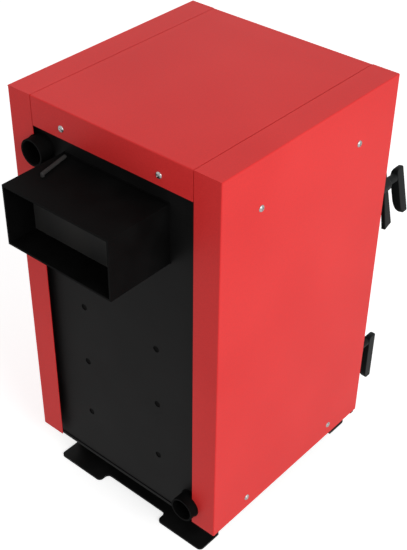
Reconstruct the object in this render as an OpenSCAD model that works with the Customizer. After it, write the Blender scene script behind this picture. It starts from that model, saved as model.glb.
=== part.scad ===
// Small solid fuel boiler: a steel water jacket on two foot rails, in a folded sheet casing,
// with a loading door, an ash door, a rectangular flue outlet with a damper, and two water pipes.
// Front is -Y, rear is +Y, and the floor is z = 0. Lengths are in millimetres.

/* [Casing] */
// Width of the casing
casing_w = 450; // [400:1:560]
// Depth of the casing
casing_d = 450; // [420:1:560]
// Height of the casing
casing_h = 750; // [700:1:900]
// Height of the casing above the floor
stand_h = 77; // [60:1:110]
// Thickness of the casing sheet
sheet_t = 1.5; // [1:0.1:2]
// Width of the strips that a side panel folds over the rear and the top
strip_w = 53; // [48:1:60]
// Drop of the top panel over the rear and the front
top_drop = 54; // [45:1:60]
// Width of the seam between two panels
seam_w = 1.2; // [0.5:0.1:2]
// Depth of the return along each side edge of the top panel
return_d = 8; // [5:0.5:10]
// Radius of the bend at each folded edge
fold_r = 2; // [1.6:0.1:3]

/* [Casing screws] */
// Diameter of a screw head
screw_head_d = 12; // [9:0.5:14]
// Height of a screw head
screw_head_h = 2.6; // [1.8:0.1:4]
// Diameter of a screw shank
screw_d = 4.8; // [4:0.1:6]
// Distance from the rear edge to the rear side screws
side_screw_rear = 94; // [70:1:120]
// Distance from the front edge to the front side screws
side_screw_front = 100; // [70:1:120]
// Distance from the top of the casing to the upper side screws
side_screw_top = 87.5; // [70:0.5:110]
// Distance from the bottom of the casing to the lower side screws
side_screw_bottom = 27; // [20:1:60]
// Distance of the top panel's screws from the middle
top_screw_x = 104; // [80:1:130]
// Distance of the top panel's screws from the top of the casing
top_screw_drop = 36; // [30:1:40]
// Diameter of a standoff that holds a side panel
standoff_d = 16; // [12:1:22]

/* [Water jacket] */
// Width of the jacket over its outer shell
jacket_w = 376; // [350:1:390]
// Distance of the rear plate inside the casing's rear edge
rear_recess = 12; // [6:1:20]
// Distance of the jacket below the casing's lower edge
jacket_drop = 13.5; // [8:0.5:20]
// Thickness of the outer shell
shell_t = 3; // [2:0.5:5]
// Width of the water space
water_gap = 30; // [24:1:34]
// Thickness of the firebox shell
firebox_t = 4; // [3:0.5:6]
// Thickness of the bottom plate
bottom_t = 5; // [3:0.5:8]
// Thickness of the front plate
front_t = 6; // [4:0.5:8]
// Gap between the front plate and the casing sides
front_side_gap = 1.5; // [1:0.1:3]

/* [Stays] */
// Diameter of a stay
stay_d = 13; // [10:1:16]
// Depth of the weld dimple at a stay's outer end
stay_dimple = 1.6; // [1:0.1:2.5]
// Distance between the two columns of rear stays
stay_pitch_x = 173; // [140:1:200]
// Distance of the rear stays' middle from the jacket's middle
stay_shift = 6.5; // [0:0.5:12]
// Height of the lowest stays above the bottom of the jacket
stay_base = 117; // [100:1:140]
// Distance between two rows of stays
stay_pitch_z = 127; // [110:1:140]
// Distance between two columns of side stays
side_stay_pitch = 190; // [150:1:240]
// Number of rows of stays
stay_rows = 3; // [2:1:3]

/* [Pipes] */
// Outside diameter of a water pipe
pipe_d = 48.3; // [42.4:0.1:50]
// Wall of a water pipe
pipe_t = 3.2; // [2.6:0.1:4]
// Distance of a pipe's axis from the middle
pipe_x = 161.6; // [150:0.1:163]
// Height of the supply pipe's axis above the casing's lower edge
supply_h = 656; // [620:1:670]
// Height of the return pipe's axis above the casing's lower edge
return_h = 38; // [25:1:60]
// Reach of a pipe past the rear plate
pipe_reach = 29; // [24:1:60]
// Gap round a pipe in the casing
pipe_gap = 1.8; // [1:0.1:3]

/* [Flue] */
// Outside width of the flue duct
flue_w = 229; // [210:1:240]
// Outside height of the flue duct
flue_h = 111; // [100:1:116]
// Wall of the flue duct
flue_t = 3.5; // [2:0.5:5]
// Height of the duct's underside above the casing's lower edge
flue_base = 553; // [540:1:556]
// Reach of the duct past the rear plate
flue_reach = 132; // [110:1:180]
// Diameter of the damper's shaft
damper_d = 6.5; // [6:0.5:8]
// Distance of the damper's shaft from the middle
damper_x = 85; // [80:1:88]
// Distance of the damper's shaft inside the duct's mouth
damper_inset = 58; // [40:1:70]
// Length of the damper's handle
damper_handle = 64; // [50:1:66]
// Angle of the damper's handle off the duct's length
damper_lead = 12; // [0:1:20]
// Thickness of the damper plate
damper_t = 2.5; // [2:0.5:3]
// Gap between the damper plate and the duct
damper_gap = 2; // [1.5:0.5:4]
// Gap between the duct and the damper's handle
damper_lift = 0.8; // [0.5:0.1:3]

/* [Stand] */
// Thickness of the foot rails
rail_t = 4; // [3:0.5:6]
// Length of a foot rail
rail_w = 378; // [340:1:400]
// Distance of the rear rail's web inside the casing's rear edge
rail_inset = 55; // [45:1:75]
// Distance of a rear foot's end inside the casing's rear edge
foot_inset = 6; // [0:1:20]
// Distance of the edge between two rear feet inside the casing's rear edge
notch_inset = 30; // [25:1:40]
// Distance by which the front foot rail stands further out than the rear one
front_rail_out = 31; // [0:1:35]
// Width of the gap between two feet
notch_w = 156; // [120:1:200]
// Corner radius of a foot
foot_r = 9; // [4:1:10]

/* [Doors] */
// Width of both doors
door_w = 410; // [400:1:412]
// Height of the loading door
loading_h = 260; // [240:1:262]
// Height of the loading door's lower edge above the casing's lower edge
loading_base = 363; // [360:1:366]
// Height of the ash door
ash_h = 160; // [150:1:162]
// Height of the ash door's lower edge above the casing's lower edge
ash_base = 3; // [2:1:12]
// Thickness of a door plate
door_t = 5; // [4:0.5:6]
// Gap between the front plate and a closed door
door_gap = 14; // [13.5:0.5:16]
// Depth of a door's cover
cover_d = 12; // [10:0.5:14]
// Corner radius of a door
door_r = 6; // [3:1:10]
// Width of the loading opening
loading_clear_w = 250; // [220:1:262]
// Width of the ash opening
ash_clear_w = 220; // [200:1:240]
// Distance from a door's upper and lower edges to its opening
opening_margin = 16; // [14:1:30]
// Wall of a door frame
frame_t = 4; // [3:0.5:5]
// Reach of a door frame past the front plate
frame_reach = 5; // [4:0.5:6]
// Width of the sealing rope
rope_w = 12; // [10:0.5:14]
// Wall of the rope channel
channel_t = 3; // [2:0.5:4]
// Depth of the rope channel
channel_d = 6; // [4:0.5:7]
// Gap between a door's inner block and its frame
block_gap = 9; // [7:0.5:12]
// Depth of a door's inner block
block_d = 38; // [25:1:40]
// Thickness of the shield on a door's inner block
shield_t = 3; // [2:0.5:4]

/* [Hinges] */
// Diameter of a hinge pin
pin_d = 8; // [6:0.5:9]
// Outside diameter of a hinge knuckle
knuckle_d = 14; // [13:0.5:15]
// Height of one knuckle
knuckle_h = 24; // [18:1:26]
// Distance from a door's side edge to its hinge axis
hinge_out = 9; // [9:0.1:9.6]
// Distance from a door's upper or lower edge to the nearest knuckle
hinge_margin = 20; // [14:1:26]

/* [Latches] */
// Diameter of a latch spindle
spindle_d = 12; // [10:0.5:12]
// Distance from the loading door's edge to its spindle
loading_spindle_in = 11; // [11:0.5:16]
// Height of the loading spindle above the casing's lower edge
loading_spindle_h = 501.5; // [495:0.5:515]
// Angle at which the loading handle stands off the vertical
loading_tilt = 13; // [0:1:20]
// Distance from the ash door's edge to its spindle
ash_spindle_in = 24; // [14:0.5:30]
// Height of the ash spindle above the casing's lower edge
ash_spindle_h = 103; // [90:1:104]
// Length of the tongue from the spindle's axis to its tip
tongue_len = 20; // [18:0.5:21]
// Width of the tongue
tongue_w = 10; // [9:0.5:12]
// Thickness of the tongue
tongue_t = 5; // [4:0.5:5]
// Thickness of the keeper's steel
keeper_t = 3; // [2:0.5:3]
// Height of a keeper
keeper_h = 18; // [14:1:24]
// Distance from a door's cover to the back of the grip
grip_out = 55; // [46:0.5:60]
// Depth of the grip
grip_d = 20; // [16:1:24]
// Width of the grip
grip_w = 18; // [14:0.5:20]
// Length of the loading door's grip above its spindle
loading_grip_up = 18.5; // [12:0.5:26]
// Length of the loading door's grip below its spindle
loading_grip_down = 73.5; // [70:0.5:105]
// Length of the ash door's grip above its spindle
ash_grip_up = 15; // [12:0.5:26]
// Length of the ash door's grip below its spindle
ash_grip_down = 100; // [70:0.5:105]
// Width of the latch arm
arm_w = 9; // [8:0.5:14]
// Length of the latch arm below the spindle
arm_length = 84; // [70:1:90]
// Length of the latch arm above the spindle
arm_top = 39; // [28:1:40]

/* [Air flap] */
// Width of the air inlet in the ash door
inlet_w = 100; // [80:1:110]
// Height of the air inlet
inlet_h = 40; // [30:1:44]
// Distance of the inlet's middle from the door's middle
inlet_x = 20; // [0:1:25]
// Height of the inlet's middle above the ash door's lower edge
inlet_base = 64; // [56:1:70]
// Thickness of the flap
flap_t = 4; // [3:0.5:5]
// Overlap of the flap round the inlet
flap_lap = 10; // [8:0.5:12]
// Diameter of the flap's pin
flap_pin_d = 6; // [5:0.5:7]

/* [Grate and ash pan] */
// Height of the grate's seat above the casing's lower edge
grate_base = 176; // [174:1:190]
// Height of a grate bar
bar_h = 22; // [16:1:26]
// Width of a grate bar at its top
bar_w = 16; // [12:1:18]
// Distance between two grate bars
bar_pitch = 31; // [26:1:32]
// Width of the ledge that carries the grate
ledge_w = 25; // [20:1:30]
// Height of the ash pan
pan_h = 70; // [50:1:80]
// Distance from the closed ash door to the pull of the ash pan
pan_front_gap = 30; // [26:1:60]
// Wall of the ash pan
pan_t = 1.5; // [1:0.1:2.5]
// Gap between the ash pan and the ash opening at each side
pan_gap = 6; // [4:1:12]

/* [Smoke shelf] */
// Depth of the water shelf over the fire
shelf_d = 206; // [150:1:230]
// Height of the water shelf
shelf_h = 28; // [24:1:32]
// Wall of the water shelf
shelf_t = 4; // [3:0.5:5]

/* [Thermometer] */
// Diameter of the thermometer's case
gauge_d = 58; // [50:1:60]
// Depth of the thermometer's case
gauge_h = 9; // [7:0.5:12]
// Diameter of the thermometer's stem
stem_d = 9; // [7:0.5:10]

/* [Hidden] */

// Smoothness of round shapes
$fn = 48;
// Overrun of a cut past the face that it opens
cut = 1;
// Clearance of a shaft in its bore, on the radius
running_gap = 0.05;
// Gap between two faces that only lie near each other
face_gap = 0.3;

// Heights
casing_top = stand_h + casing_h;
jacket_bottom = stand_h - jacket_drop;
jacket_base = jacket_bottom + bottom_t;
top_wool_h = 40;
jacket_top = casing_top - sheet_t - top_wool_h;
panel_drop_z = casing_top - top_drop;

// Places along the depth, from the casing's middle
rear_edge = casing_d / 2;
front_edge = -casing_d / 2;
plate_front = front_edge + sheet_t + face_gap;
plate_back = plate_front + front_t;
frame_rim = plate_front - frame_reach;
door_back = plate_front - door_gap;
door_front = door_back - door_t;
cover_front = door_front - cover_d;
grip_back = cover_front - grip_out;
grip_front = grip_back - grip_d;
jacket_rear = rear_edge - rear_recess;
flue_mouth = jacket_rear + flue_reach;

// The whole boiler is shifted so that y = 0 halves its overall depth
centre_y = -(flue_mouth + grip_front) / 2;

// Half widths
casing_half = casing_w / 2;
seam_x = casing_half - strip_w;
jacket_half = jacket_w / 2;
pipe_bore = pipe_d - 2 * pipe_t;
plate_half = casing_half - sheet_t - front_side_gap;
door_half = door_w / 2;

// Firebox
wall_stack = shell_t + water_gap + firebox_t;
fire_half = jacket_half - wall_stack;
fire_rear = jacket_rear - wall_stack;
fire_front = plate_back + water_gap + firebox_t;
fire_top = jacket_top - wall_stack;

// Doors
loading_lo = stand_h + loading_base;
loading_hi = loading_lo + loading_h;
ash_lo = stand_h + ash_base;
ash_hi = ash_lo + ash_h;
hinge_x = door_half + hinge_out;
hinge_y = door_back + pin_d / 4;
loading_spindle_x = -door_half + loading_spindle_in;
loading_spindle_z = stand_h + loading_spindle_h;
ash_spindle_x = -door_half + ash_spindle_in;
ash_spindle_z = stand_h + ash_spindle_h;
bush_d = spindle_d + 2 * frame_t;
knuckle_gap = face_gap + running_gap;

// Panels between and above the doors
panel_gap = 4;
panel_d = 11;
middle_d = 19;
middle_lo = ash_hi + panel_gap;
middle_hi = loading_lo - panel_gap;
control_lo = loading_hi + panel_gap;
control_hi = panel_drop_z - panel_gap;
control_screw_in = 16;

// Flue and damper
flue_lo = stand_h + flue_base;
flue_hi = flue_lo + flue_h;
damper_y = flue_mouth - damper_inset;
damper_bend = damper_lift + damper_d / 2;

// Grate
grate_z = stand_h + grate_base;
bar_end_gap = 2;

// Angle rails under the top panel
top_rail_t = 3;
top_rail_d = 24;
top_rail_h = 20;
top_rail_inset = 14;

function arc(centre, r, from, to, steps = 8) =
    [for (i = [0:steps]) centre + r * [cos(from + (to - from) * i / steps),
                                       sin(from + (to - from) * i / steps)]];

// Outline of a rectangle with round corners, from its low corner to its high corner
function rounded(lo, hi, r, steps = 6) = concat(
    arc([hi[0] - r, hi[1] - r], r, 0, 90, steps), arc([lo[0] + r, hi[1] - r], r, 90, 180, steps),
    arc([lo[0] + r, lo[1] + r], r, 180, 270, steps), arc([hi[0] - r, lo[1] + r], r, 270, 360, steps));

// Moves the drawing so that the overall depth is centred
module place() {
    translate([0, centre_y, 0]) children();
}

// Box from its low corner to its high corner
module span(lo, hi) {
    translate(lo) cube(hi - lo);
}

// Plate that stands across the depth, from a front view outline
module upright(points, y_front, y_back) {
    translate([0, y_back, 0]) rotate([90, 0, 0])
        linear_extrude(height = y_back - y_front) polygon(points);
}

// Cylinder along the depth
module rod_y(x, z, d, y_front, y_back) {
    translate([x, y_back, z]) rotate([90, 0, 0]) cylinder(d = d, h = y_back - y_front);
}

// Cylinder along the width
module rod_x(y, z, d, x_lo, x_hi) {
    translate([x_lo, y, z]) rotate([0, 90, 0]) cylinder(d = d, h = x_hi - x_lo);
}

// Rectangular frame across the depth, with sharp corners
module ring_y(half, lo, hi, t, y_front, y_back) {
    difference() {
        span([-half - t, y_front, lo - t], [half + t, y_back, hi + t]);
        span([-half, y_front - cut, lo], [half, y_back + cut, hi]);
    }
}

// Clear opening of a door, from the door's own edges
function clear_lo(lo) = lo + opening_margin;
function clear_hi(hi) = hi - opening_margin;

stay_heights = [for (i = [0:stay_rows - 1]) jacket_bottom + stay_base + i * stay_pitch_z];
side_screw_ys = [rear_edge - side_screw_rear, front_edge + side_screw_front];
side_screw_zs = [casing_top - side_screw_top, stand_h + side_screw_bottom];

module rear_stay_places() {
    for (z = stay_heights, side = [-1, 1]) {
        translate([stay_shift + side * stay_pitch_x / 2, 0, z]) children();
    }
}

module side_stay_places() {
    for (z = stay_heights, end = [-1, 1]) {
        translate([0, end * side_stay_pitch / 2, z]) children();
    }
}

// Outer shell of the water jacket: two sides, the rear plate and the top
module outer_jacket() {
    color("#242424") place() difference() {
        span([-jacket_half, plate_back, jacket_bottom], [jacket_half, jacket_rear, jacket_top]);
        span([-jacket_half + shell_t, plate_back - cut, jacket_bottom - cut],
             [jacket_half - shell_t, jacket_rear - shell_t, jacket_top - shell_t]);
        span([-flue_w / 2, jacket_rear - shell_t - cut, flue_lo],
             [flue_w / 2, jacket_rear + cut, flue_hi]);
        rod_y(pipe_x, stand_h + supply_h, pipe_bore, jacket_rear - shell_t - cut, jacket_rear + cut);
        rod_y(-pipe_x, stand_h + return_h, pipe_bore, jacket_rear - shell_t - cut, jacket_rear + cut);
        rear_stay_places() rod_y(0, 0, stay_d, jacket_rear - shell_t - cut, jacket_rear + cut);
        side_stay_places() rod_x(0, 0, stay_d, -jacket_half - cut, jacket_half + cut);
    }
}

// Front plate of the boiler, which closes the jacket and the casing
module front_plate() {
    color("#202020") place() difference() {
        upright(rounded([-plate_half, jacket_bottom], [plate_half, jacket_top], door_r),
                plate_front, plate_back);
        span([-loading_clear_w / 2 - frame_t, plate_front - cut, clear_lo(loading_lo) - frame_t],
             [loading_clear_w / 2 + frame_t, plate_back + cut, clear_hi(loading_hi) + frame_t]);
        span([-ash_clear_w / 2 - frame_t, plate_front - cut, clear_lo(ash_lo) - frame_t],
             [ash_clear_w / 2 + frame_t, plate_back + cut, clear_hi(ash_hi) + frame_t]);
        rod_y(0, gauge_z, pocket_d, plate_front - cut, plate_back + cut);
        for (spot = concat(control_screws, middle_screws)) {
            rod_y(spot[0], spot[1], screw_d, plate_front - cut, plate_back + cut);
        }
    }
}

// Inner shell round the fire, with its doors, flue and shelf openings
module firebox_shell() {
    color("#2b2826") place() difference() {
        span([-fire_half - firebox_t, fire_front - firebox_t, jacket_base],
             [fire_half + firebox_t, fire_rear + firebox_t, fire_top + firebox_t]);
        span([-fire_half, fire_front, jacket_base - cut], [fire_half, fire_rear, fire_top]);
        span([-loading_clear_w / 2 - frame_t, fire_front - firebox_t - cut,
              clear_lo(loading_lo) - frame_t],
             [loading_clear_w / 2 + frame_t, fire_front + cut, clear_hi(loading_hi) + frame_t]);
        span([-ash_clear_w / 2 - frame_t, fire_front - firebox_t - cut, clear_lo(ash_lo) - frame_t],
             [ash_clear_w / 2 + frame_t, fire_front + cut, clear_hi(ash_hi) + frame_t]);
        span([-flue_w / 2, fire_rear - cut, flue_lo],
             [flue_w / 2, fire_rear + firebox_t + cut, flue_hi]);
        span([-fire_half - firebox_t - cut, fire_rear - shelf_d + shelf_t, shelf_lo + shelf_t],
             [fire_half + firebox_t + cut, fire_rear - shelf_t, shelf_lo + shelf_h - shelf_t]);
    }
}

// Plate under the jacket and the ash pit
module bottom_plate() {
    color("#242424") place()
        span([-jacket_half + shell_t, plate_back, jacket_bottom],
             [jacket_half - shell_t, jacket_rear - shell_t, jacket_base]);
}

// Stays that tie the outer shell to the firebox through the water
module stay_bolts() {
    color("#1c1c1c") place() {
        rear_stay_places()
            rod_y(0, 0, stay_d, fire_rear + firebox_t, jacket_rear - stay_dimple);
        for (side = [-1, 1]) {
            side_stay_places() rod_x(0, 0, stay_d,
                side > 0 ? fire_half + firebox_t : -jacket_half + stay_dimple,
                side > 0 ? jacket_half - stay_dimple : -fire_half - firebox_t);
        }
    }
}

// Frame of a door opening, through the water space to the sealing rim
module door_frame(clear_w, lo, hi) {
    ring_y(clear_w / 2, clear_lo(lo), clear_hi(hi), frame_t, frame_rim, fire_front);
}

module loading_door_frame() {
    color("#202020") place() door_frame(loading_clear_w, loading_lo, loading_hi);
}

module ash_door_frame() {
    color("#202020") place() door_frame(ash_clear_w, ash_lo, ash_hi);
}

// Hollow shelf over the fire, open to the water space at both ends
shelf_lo = flue_lo - shelf_h - shelf_t / 2;
module water_shelf() {
    color("#2b2826") place() difference() {
        span([-fire_half, fire_rear - shelf_d, shelf_lo], [fire_half, fire_rear, shelf_lo + shelf_h]);
        span([-fire_half - cut, fire_rear - shelf_d + shelf_t, shelf_lo + shelf_t],
             [fire_half + cut, fire_rear - shelf_t, shelf_lo + shelf_h - shelf_t]);
    }
}

// Rectangular smoke outlet, with the two holes of the damper's shaft
module flue_duct() {
    color("#1b1b1b") place() difference() {
        ring_y(flue_w / 2 - flue_t, flue_lo + flue_t, flue_hi - flue_t, flue_t,
               fire_rear, flue_mouth);
        translate([damper_x, damper_y, flue_lo - cut])
            cylinder(d = damper_d + 2 * running_gap, h = flue_h + 2 * cut);
    }
}

// Damper: a plate welded to the outer side of a bent rod whose free end is the handle
module damper() {
    plate_lo = flue_lo + flue_t + damper_gap;
    plate_hi = flue_hi - flue_t - damper_gap;
    inner_half = flue_w / 2 - flue_t;
    tail = inner_half - damper_x - damper_gap;
    reach = damper_x + inner_half - damper_gap;
    straight = damper_handle - damper_d / 2;
    color("#262626") place() translate([damper_x, damper_y, 0]) {
        span([-reach, damper_d / 4, plate_lo], [tail, damper_d / 4 + damper_t, plate_hi]);
        translate([0, 0, flue_lo - damper_d])
            cylinder(d = damper_d, h = flue_h + damper_d + damper_bend);
        rotate([0, 0, -90 + damper_lead]) {
            translate([0, 0, flue_hi + damper_bend]) sphere(d = damper_d);
            translate([0, 0, flue_hi + damper_bend]) rotate([0, 90, 0])
                cylinder(d = damper_d, h = straight);
            translate([straight, 0, flue_hi + damper_bend]) sphere(d = damper_d);
        }
    }
}

// Water pipe, welded on the rear plate round a hole of its own bore
module water_pipe(x, z) {
    difference() {
        rod_y(x, z, pipe_d, jacket_rear, jacket_rear + pipe_reach);
        rod_y(x, z, pipe_bore, jacket_rear - cut, jacket_rear + pipe_reach + cut);
    }
}

module supply_pipe() {
    color("#1f1f1f") place() water_pipe(pipe_x, stand_h + supply_h);
}

module return_pipe() {
    color("#1f1f1f") place() water_pipe(-pipe_x, stand_h + return_h);
}

// Foot rail: an upright web with two feet, drawn for the rear
rail_y = rear_edge - rail_inset;
foot_y = rear_edge - foot_inset;
notch_y = rear_edge - notch_inset;
module foot_rail() {
    half = rail_w / 2;
    gap = notch_w / 2;
    span([-half, rail_y - rail_t, rail_t], [half, rail_y, jacket_bottom]);
    linear_extrude(height = rail_t) polygon(concat(
        [[-half, rail_y - rail_t], [half, rail_y - rail_t]],
        arc([half - foot_r, foot_y - foot_r], foot_r, 0, 90),
        arc([gap + foot_r, foot_y - foot_r], foot_r, 90, 180),
        arc([gap - foot_r, notch_y + foot_r], foot_r, 0, -90),
        arc([-gap + foot_r, notch_y + foot_r], foot_r, -90, -180),
        arc([-gap - foot_r, foot_y - foot_r], foot_r, 0, 90),
        arc([-half + foot_r, foot_y - foot_r], foot_r, 90, 180)));
}

module rear_foot_rail() {
    color("#1f1f1f") place() foot_rail();
}

module front_foot_rail() {
    color("#1f1f1f") place() mirror([0, 1, 0]) translate([0, front_rail_out, 0]) foot_rail();
}

// Ledges that carry the two ends of the grate bars
module grate_ledges() {
    color("#2b2826") place() {
        for (end = [0, 1]) {
            low = end == 0 ? fire_front : fire_rear - ledge_w;
            wall = end == 0 ? fire_front : fire_rear - firebox_t;
            span([-fire_half, low, grate_z - firebox_t], [fire_half, low + ledge_w, grate_z]);
            span([-fire_half, wall, grate_z - ledge_w], [fire_half, wall + firebox_t, grate_z]);
        }
    }
}

// Cast bars, each tapered below and with wide heads that set the gaps
module grate_bars() {
    count = floor((2 * fire_half - bar_w) / bar_pitch);
    length = fire_rear - fire_front - 2 * bar_end_gap;
    foot = bar_w / 2;
    head = bar_pitch - 2 * face_gap;
    color("#3a3431") place() {
        for (i = [0:count - 1]) {
            translate([(i - (count - 1) / 2) * bar_pitch, fire_rear - bar_end_gap, grate_z]) {
                rotate([90, 0, 0]) linear_extrude(height = length)
                    polygon([[-foot / 2, 0], [foot / 2, 0], [bar_w / 2, bar_h * 2 / 3],
                             [bar_w / 2, bar_h], [-bar_w / 2, bar_h], [-bar_w / 2, bar_h * 2 / 3]]);
                for (y = [-ledge_w + bar_end_gap, -length]) {
                    translate([-head / 2, y, 0]) cube([head, ledge_w - bar_end_gap, bar_h]);
                }
            }
        }
    }
}

// Two bars on the bottom plate, on which the ash pan slides
module pan_rails() {
    color("#2b2826") place() {
        for (side = [-1, 1]) {
            middle = side * (ash_clear_w / 2 - ledge_w);
            span([middle - ledge_w / 4, fire_front, jacket_base],
                 [middle + ledge_w / 4, fire_rear, clear_lo(ash_lo)]);
        }
    }
}

// Heights of the two hinges of a door
function hinge_heights(lo, hi) = [lo + hinge_margin, hi - hinge_margin - 2 * knuckle_h - knuckle_gap];

// Lower knuckles, welded to the front plate
module hinge_bracket(z) {
    difference() {
        union() {
            translate([hinge_x, hinge_y, z]) cylinder(d = knuckle_d, h = knuckle_h);
            span([hinge_x - knuckle_d / 3, hinge_y, z],
                 [hinge_x + knuckle_d / 3, plate_front, z + knuckle_h]);
        }
        translate([hinge_x, hinge_y, z - cut]) cylinder(d = pin_d, h = knuckle_h + 2 * cut);
    }
}

module hinge_brackets() {
    color("#1f1f1f") place() {
        for (z = concat(hinge_heights(loading_lo, loading_hi), hinge_heights(ash_lo, ash_hi))) {
            hinge_bracket(z);
        }
    }
}

module hinge_pins() {
    color("#9a9a98") place() {
        for (z = concat(hinge_heights(loading_lo, loading_hi), hinge_heights(ash_lo, ash_hi))) {
            translate([hinge_x, hinge_y, z]) cylinder(d = pin_d, h = 2 * knuckle_h);
        }
    }
}

// Keeper: a bent strip whose lip holds the tongue in
keeper_clear = 1.5;
keeper_lip = 13;
lip_gap = 1;
lip_back = door_back + lip_gap + keeper_t;
tongue_front = lip_back + keeper_clear;
module keeper(x, z) {
    wall = x - tongue_len - keeper_clear;
    span([wall - keeper_t, lip_back - keeper_t, z - keeper_h / 2], [wall, plate_front, z + keeper_h / 2]);
    span([wall, lip_back - keeper_t, z - keeper_h / 2],
         [wall - keeper_t + keeper_lip, lip_back, z + keeper_h / 2]);
}

module latch_keepers() {
    color("#1f1f1f") place() {
        keeper(loading_spindle_x, loading_spindle_z);
        keeper(ash_spindle_x, ash_spindle_z);
    }
}

// Section of a sheet folded once, from one free edge round the bend to the other
function folded(end_a, corner, end_b) = concat(
    [[corner[0], end_a]], arc([corner[0] - fold_r, corner[1] - fold_r], fold_r, 0, 90),
    [[end_b, corner[1]], [end_b, corner[1] - sheet_t]],
    arc([corner[0] - fold_r, corner[1] - fold_r], fold_r - sheet_t, 90, 0),
    [[corner[0] - sheet_t, end_a]]);

// Side panel, drawn for the +X side: one sheet folded over the rear, the top and the front corner
module side_panel(pipe_z) {
    seam = seam_x + seam_w / 2;
    bend_z = casing_top - fold_r;
    difference() {
        union() {
            translate([0, 0, stand_h]) linear_extrude(height = bend_z - stand_h)
                polygon(folded(front_edge, [casing_half, rear_edge], seam));
            upright(folded(bend_z, [casing_half, casing_top], seam), front_edge, rear_edge);
            span([seam, rear_edge - sheet_t, bend_z], [casing_half - fold_r, rear_edge, casing_top]);
            span([seam, front_edge, panel_drop_z], [casing_half, front_edge + sheet_t, bend_z]);
            span([seam, front_edge, bend_z], [casing_half - fold_r, front_edge + sheet_t, casing_top]);
        }
        for (y = side_screw_ys, z = side_screw_zs) {
            rod_x(y, z, screw_d, casing_half - sheet_t - cut, casing_half + cut);
        }
        rod_y(pipe_x, pipe_z, pipe_d + 2 * pipe_gap, rear_edge - sheet_t - cut, rear_edge + cut);
    }
}

module side_panel_right() {
    color("#e84c4c") place() side_panel(stand_h + supply_h);
}

module side_panel_left() {
    color("#e84c4c") place() mirror([1, 0, 0]) side_panel(stand_h + return_h);
}

// Top panel with its rear and front drops, and a return along each side edge
module top_panel() {
    half = seam_x - seam_w / 2;
    bend_y = rear_edge - fold_r;
    bend_z = casing_top - fold_r;
    inner_r = fold_r - sheet_t;
    color("#e84c4c") place() difference() {
        translate([-half, 0, 0]) rotate([90, 0, 90]) linear_extrude(height = 2 * half)
            polygon(concat([[rear_edge, panel_drop_z]], arc([bend_y, bend_z], fold_r, 0, 90),
                           arc([-bend_y, bend_z], fold_r, 90, 180),
                           [[front_edge, panel_drop_z], [front_edge + sheet_t, panel_drop_z]],
                           arc([-bend_y, bend_z], inner_r, 180, 90),
                           arc([bend_y, bend_z], inner_r, 90, 0),
                           [[rear_edge - sheet_t, panel_drop_z]]));
        top_screw_holes();
    }
    color("#e84c4c") place() for (side = [0, 1]) {
        mirror([side, 0, 0]) {
            span([half - sheet_t, -bend_y, casing_top - return_d],
                 [half, bend_y, casing_top - sheet_t / 2]);
            span([half - sheet_t, rear_edge - return_d, panel_drop_z],
                 [half, rear_edge - sheet_t / 2, bend_z]);
        }
    }
}

module top_screw_holes() {
    for (side = [-1, 1]) {
        rod_y(side * top_screw_x, casing_top - top_screw_drop, screw_d,
              front_edge - cut, rear_edge + cut);
    }
}

// Angle rails on the jacket that carry the top panel
module top_rails() {
    half = seam_x - top_rail_inset;
    outer = rear_edge - sheet_t;
    color("#8a8c8c") place() difference() {
        for (end = [0, 1]) {
            mirror([0, end, 0]) {
                span([-half, jacket_rear - top_rail_d, jacket_top],
                     [half, outer, jacket_top + top_rail_t]);
                span([-half, outer - top_rail_t, jacket_top], [half, outer, jacket_top + top_rail_h]);
            }
        }
        top_screw_holes();
    }
}

// Tubes between the jacket and the side panels, which take the side screws
module panel_standoffs() {
    color("#8a8c8c") place() {
        for (side = [-1, 1], y = side_screw_ys, z = side_screw_zs) {
            mirror([side > 0 ? 0 : 1, 0, 0]) difference() {
                rod_x(y, z, standoff_d, jacket_half, casing_half - sheet_t);
                rod_x(y, z, screw_d, jacket_half + 2 * shell_t, casing_half - sheet_t + cut);
            }
        }
    }
}

// Screw along +Z with a domed head, its seat at z = 0
module screw(shank) {
    dome = (pow(screw_head_d / 2, 2) + pow(screw_head_h, 2)) / (2 * screw_head_h);
    translate([0, 0, -shank]) cylinder(d = screw_d, h = shank);
    intersection() {
        translate([0, 0, screw_head_h - dome]) sphere(r = dome);
        cylinder(d = screw_head_d, h = screw_head_h);
    }
}

module front_screw(x, z, y, shank) {
    translate([x, y, z]) rotate([90, 0, 0]) screw(shank);
}

shank_l = 16;
control_screws = [for (side = [-1, 1]) [side * (door_half - control_screw_in),
                                        (control_lo + control_hi) / 2]];
middle_screws = [for (side = [-1, 1], z = [middle_lo + control_screw_in,
                                           middle_hi - control_screw_in])
                 [side * (door_half - control_screw_in), z]];

module casing_screws() {
    color("#c9c9c7") place() {
        for (side = [-1, 1], y = side_screw_ys, z = side_screw_zs) {
            translate([side * casing_half, y, z]) rotate([0, side * 90, 0]) screw(shank_l);
        }
        for (side = [-1, 1]) {
            translate([side * top_screw_x, rear_edge, casing_top - top_screw_drop])
                rotate([-90, 0, 0]) screw(shank_l);
            front_screw(side * top_screw_x, casing_top - top_screw_drop, front_edge, shank_l);
        }
        for (spot = control_screws) {
            front_screw(spot[0], spot[1], plate_front - panel_d, panel_d + front_t);
        }
        for (spot = middle_screws) {
            front_screw(spot[0], spot[1], plate_front - middle_d, middle_d + front_t);
        }
    }
}

// Mineral wool mats, one on each side of the jacket
wool_gap = 1;
module side_wool() {
    color("#c9b98a") place() for (side = [0, 1]) {
        mirror([side, 0, 0]) difference() {
            span([jacket_half + wool_gap, plate_back + wool_gap, stand_h + wool_gap],
                 [casing_half - sheet_t - wool_gap, jacket_rear - wool_gap,
                  casing_top - sheet_t - wool_gap]);
            for (y = side_screw_ys, z = side_screw_zs) {
                rod_x(y, z, standoff_d + 2 * wool_gap, jacket_half, casing_half);
            }
        }
    }
}

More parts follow.
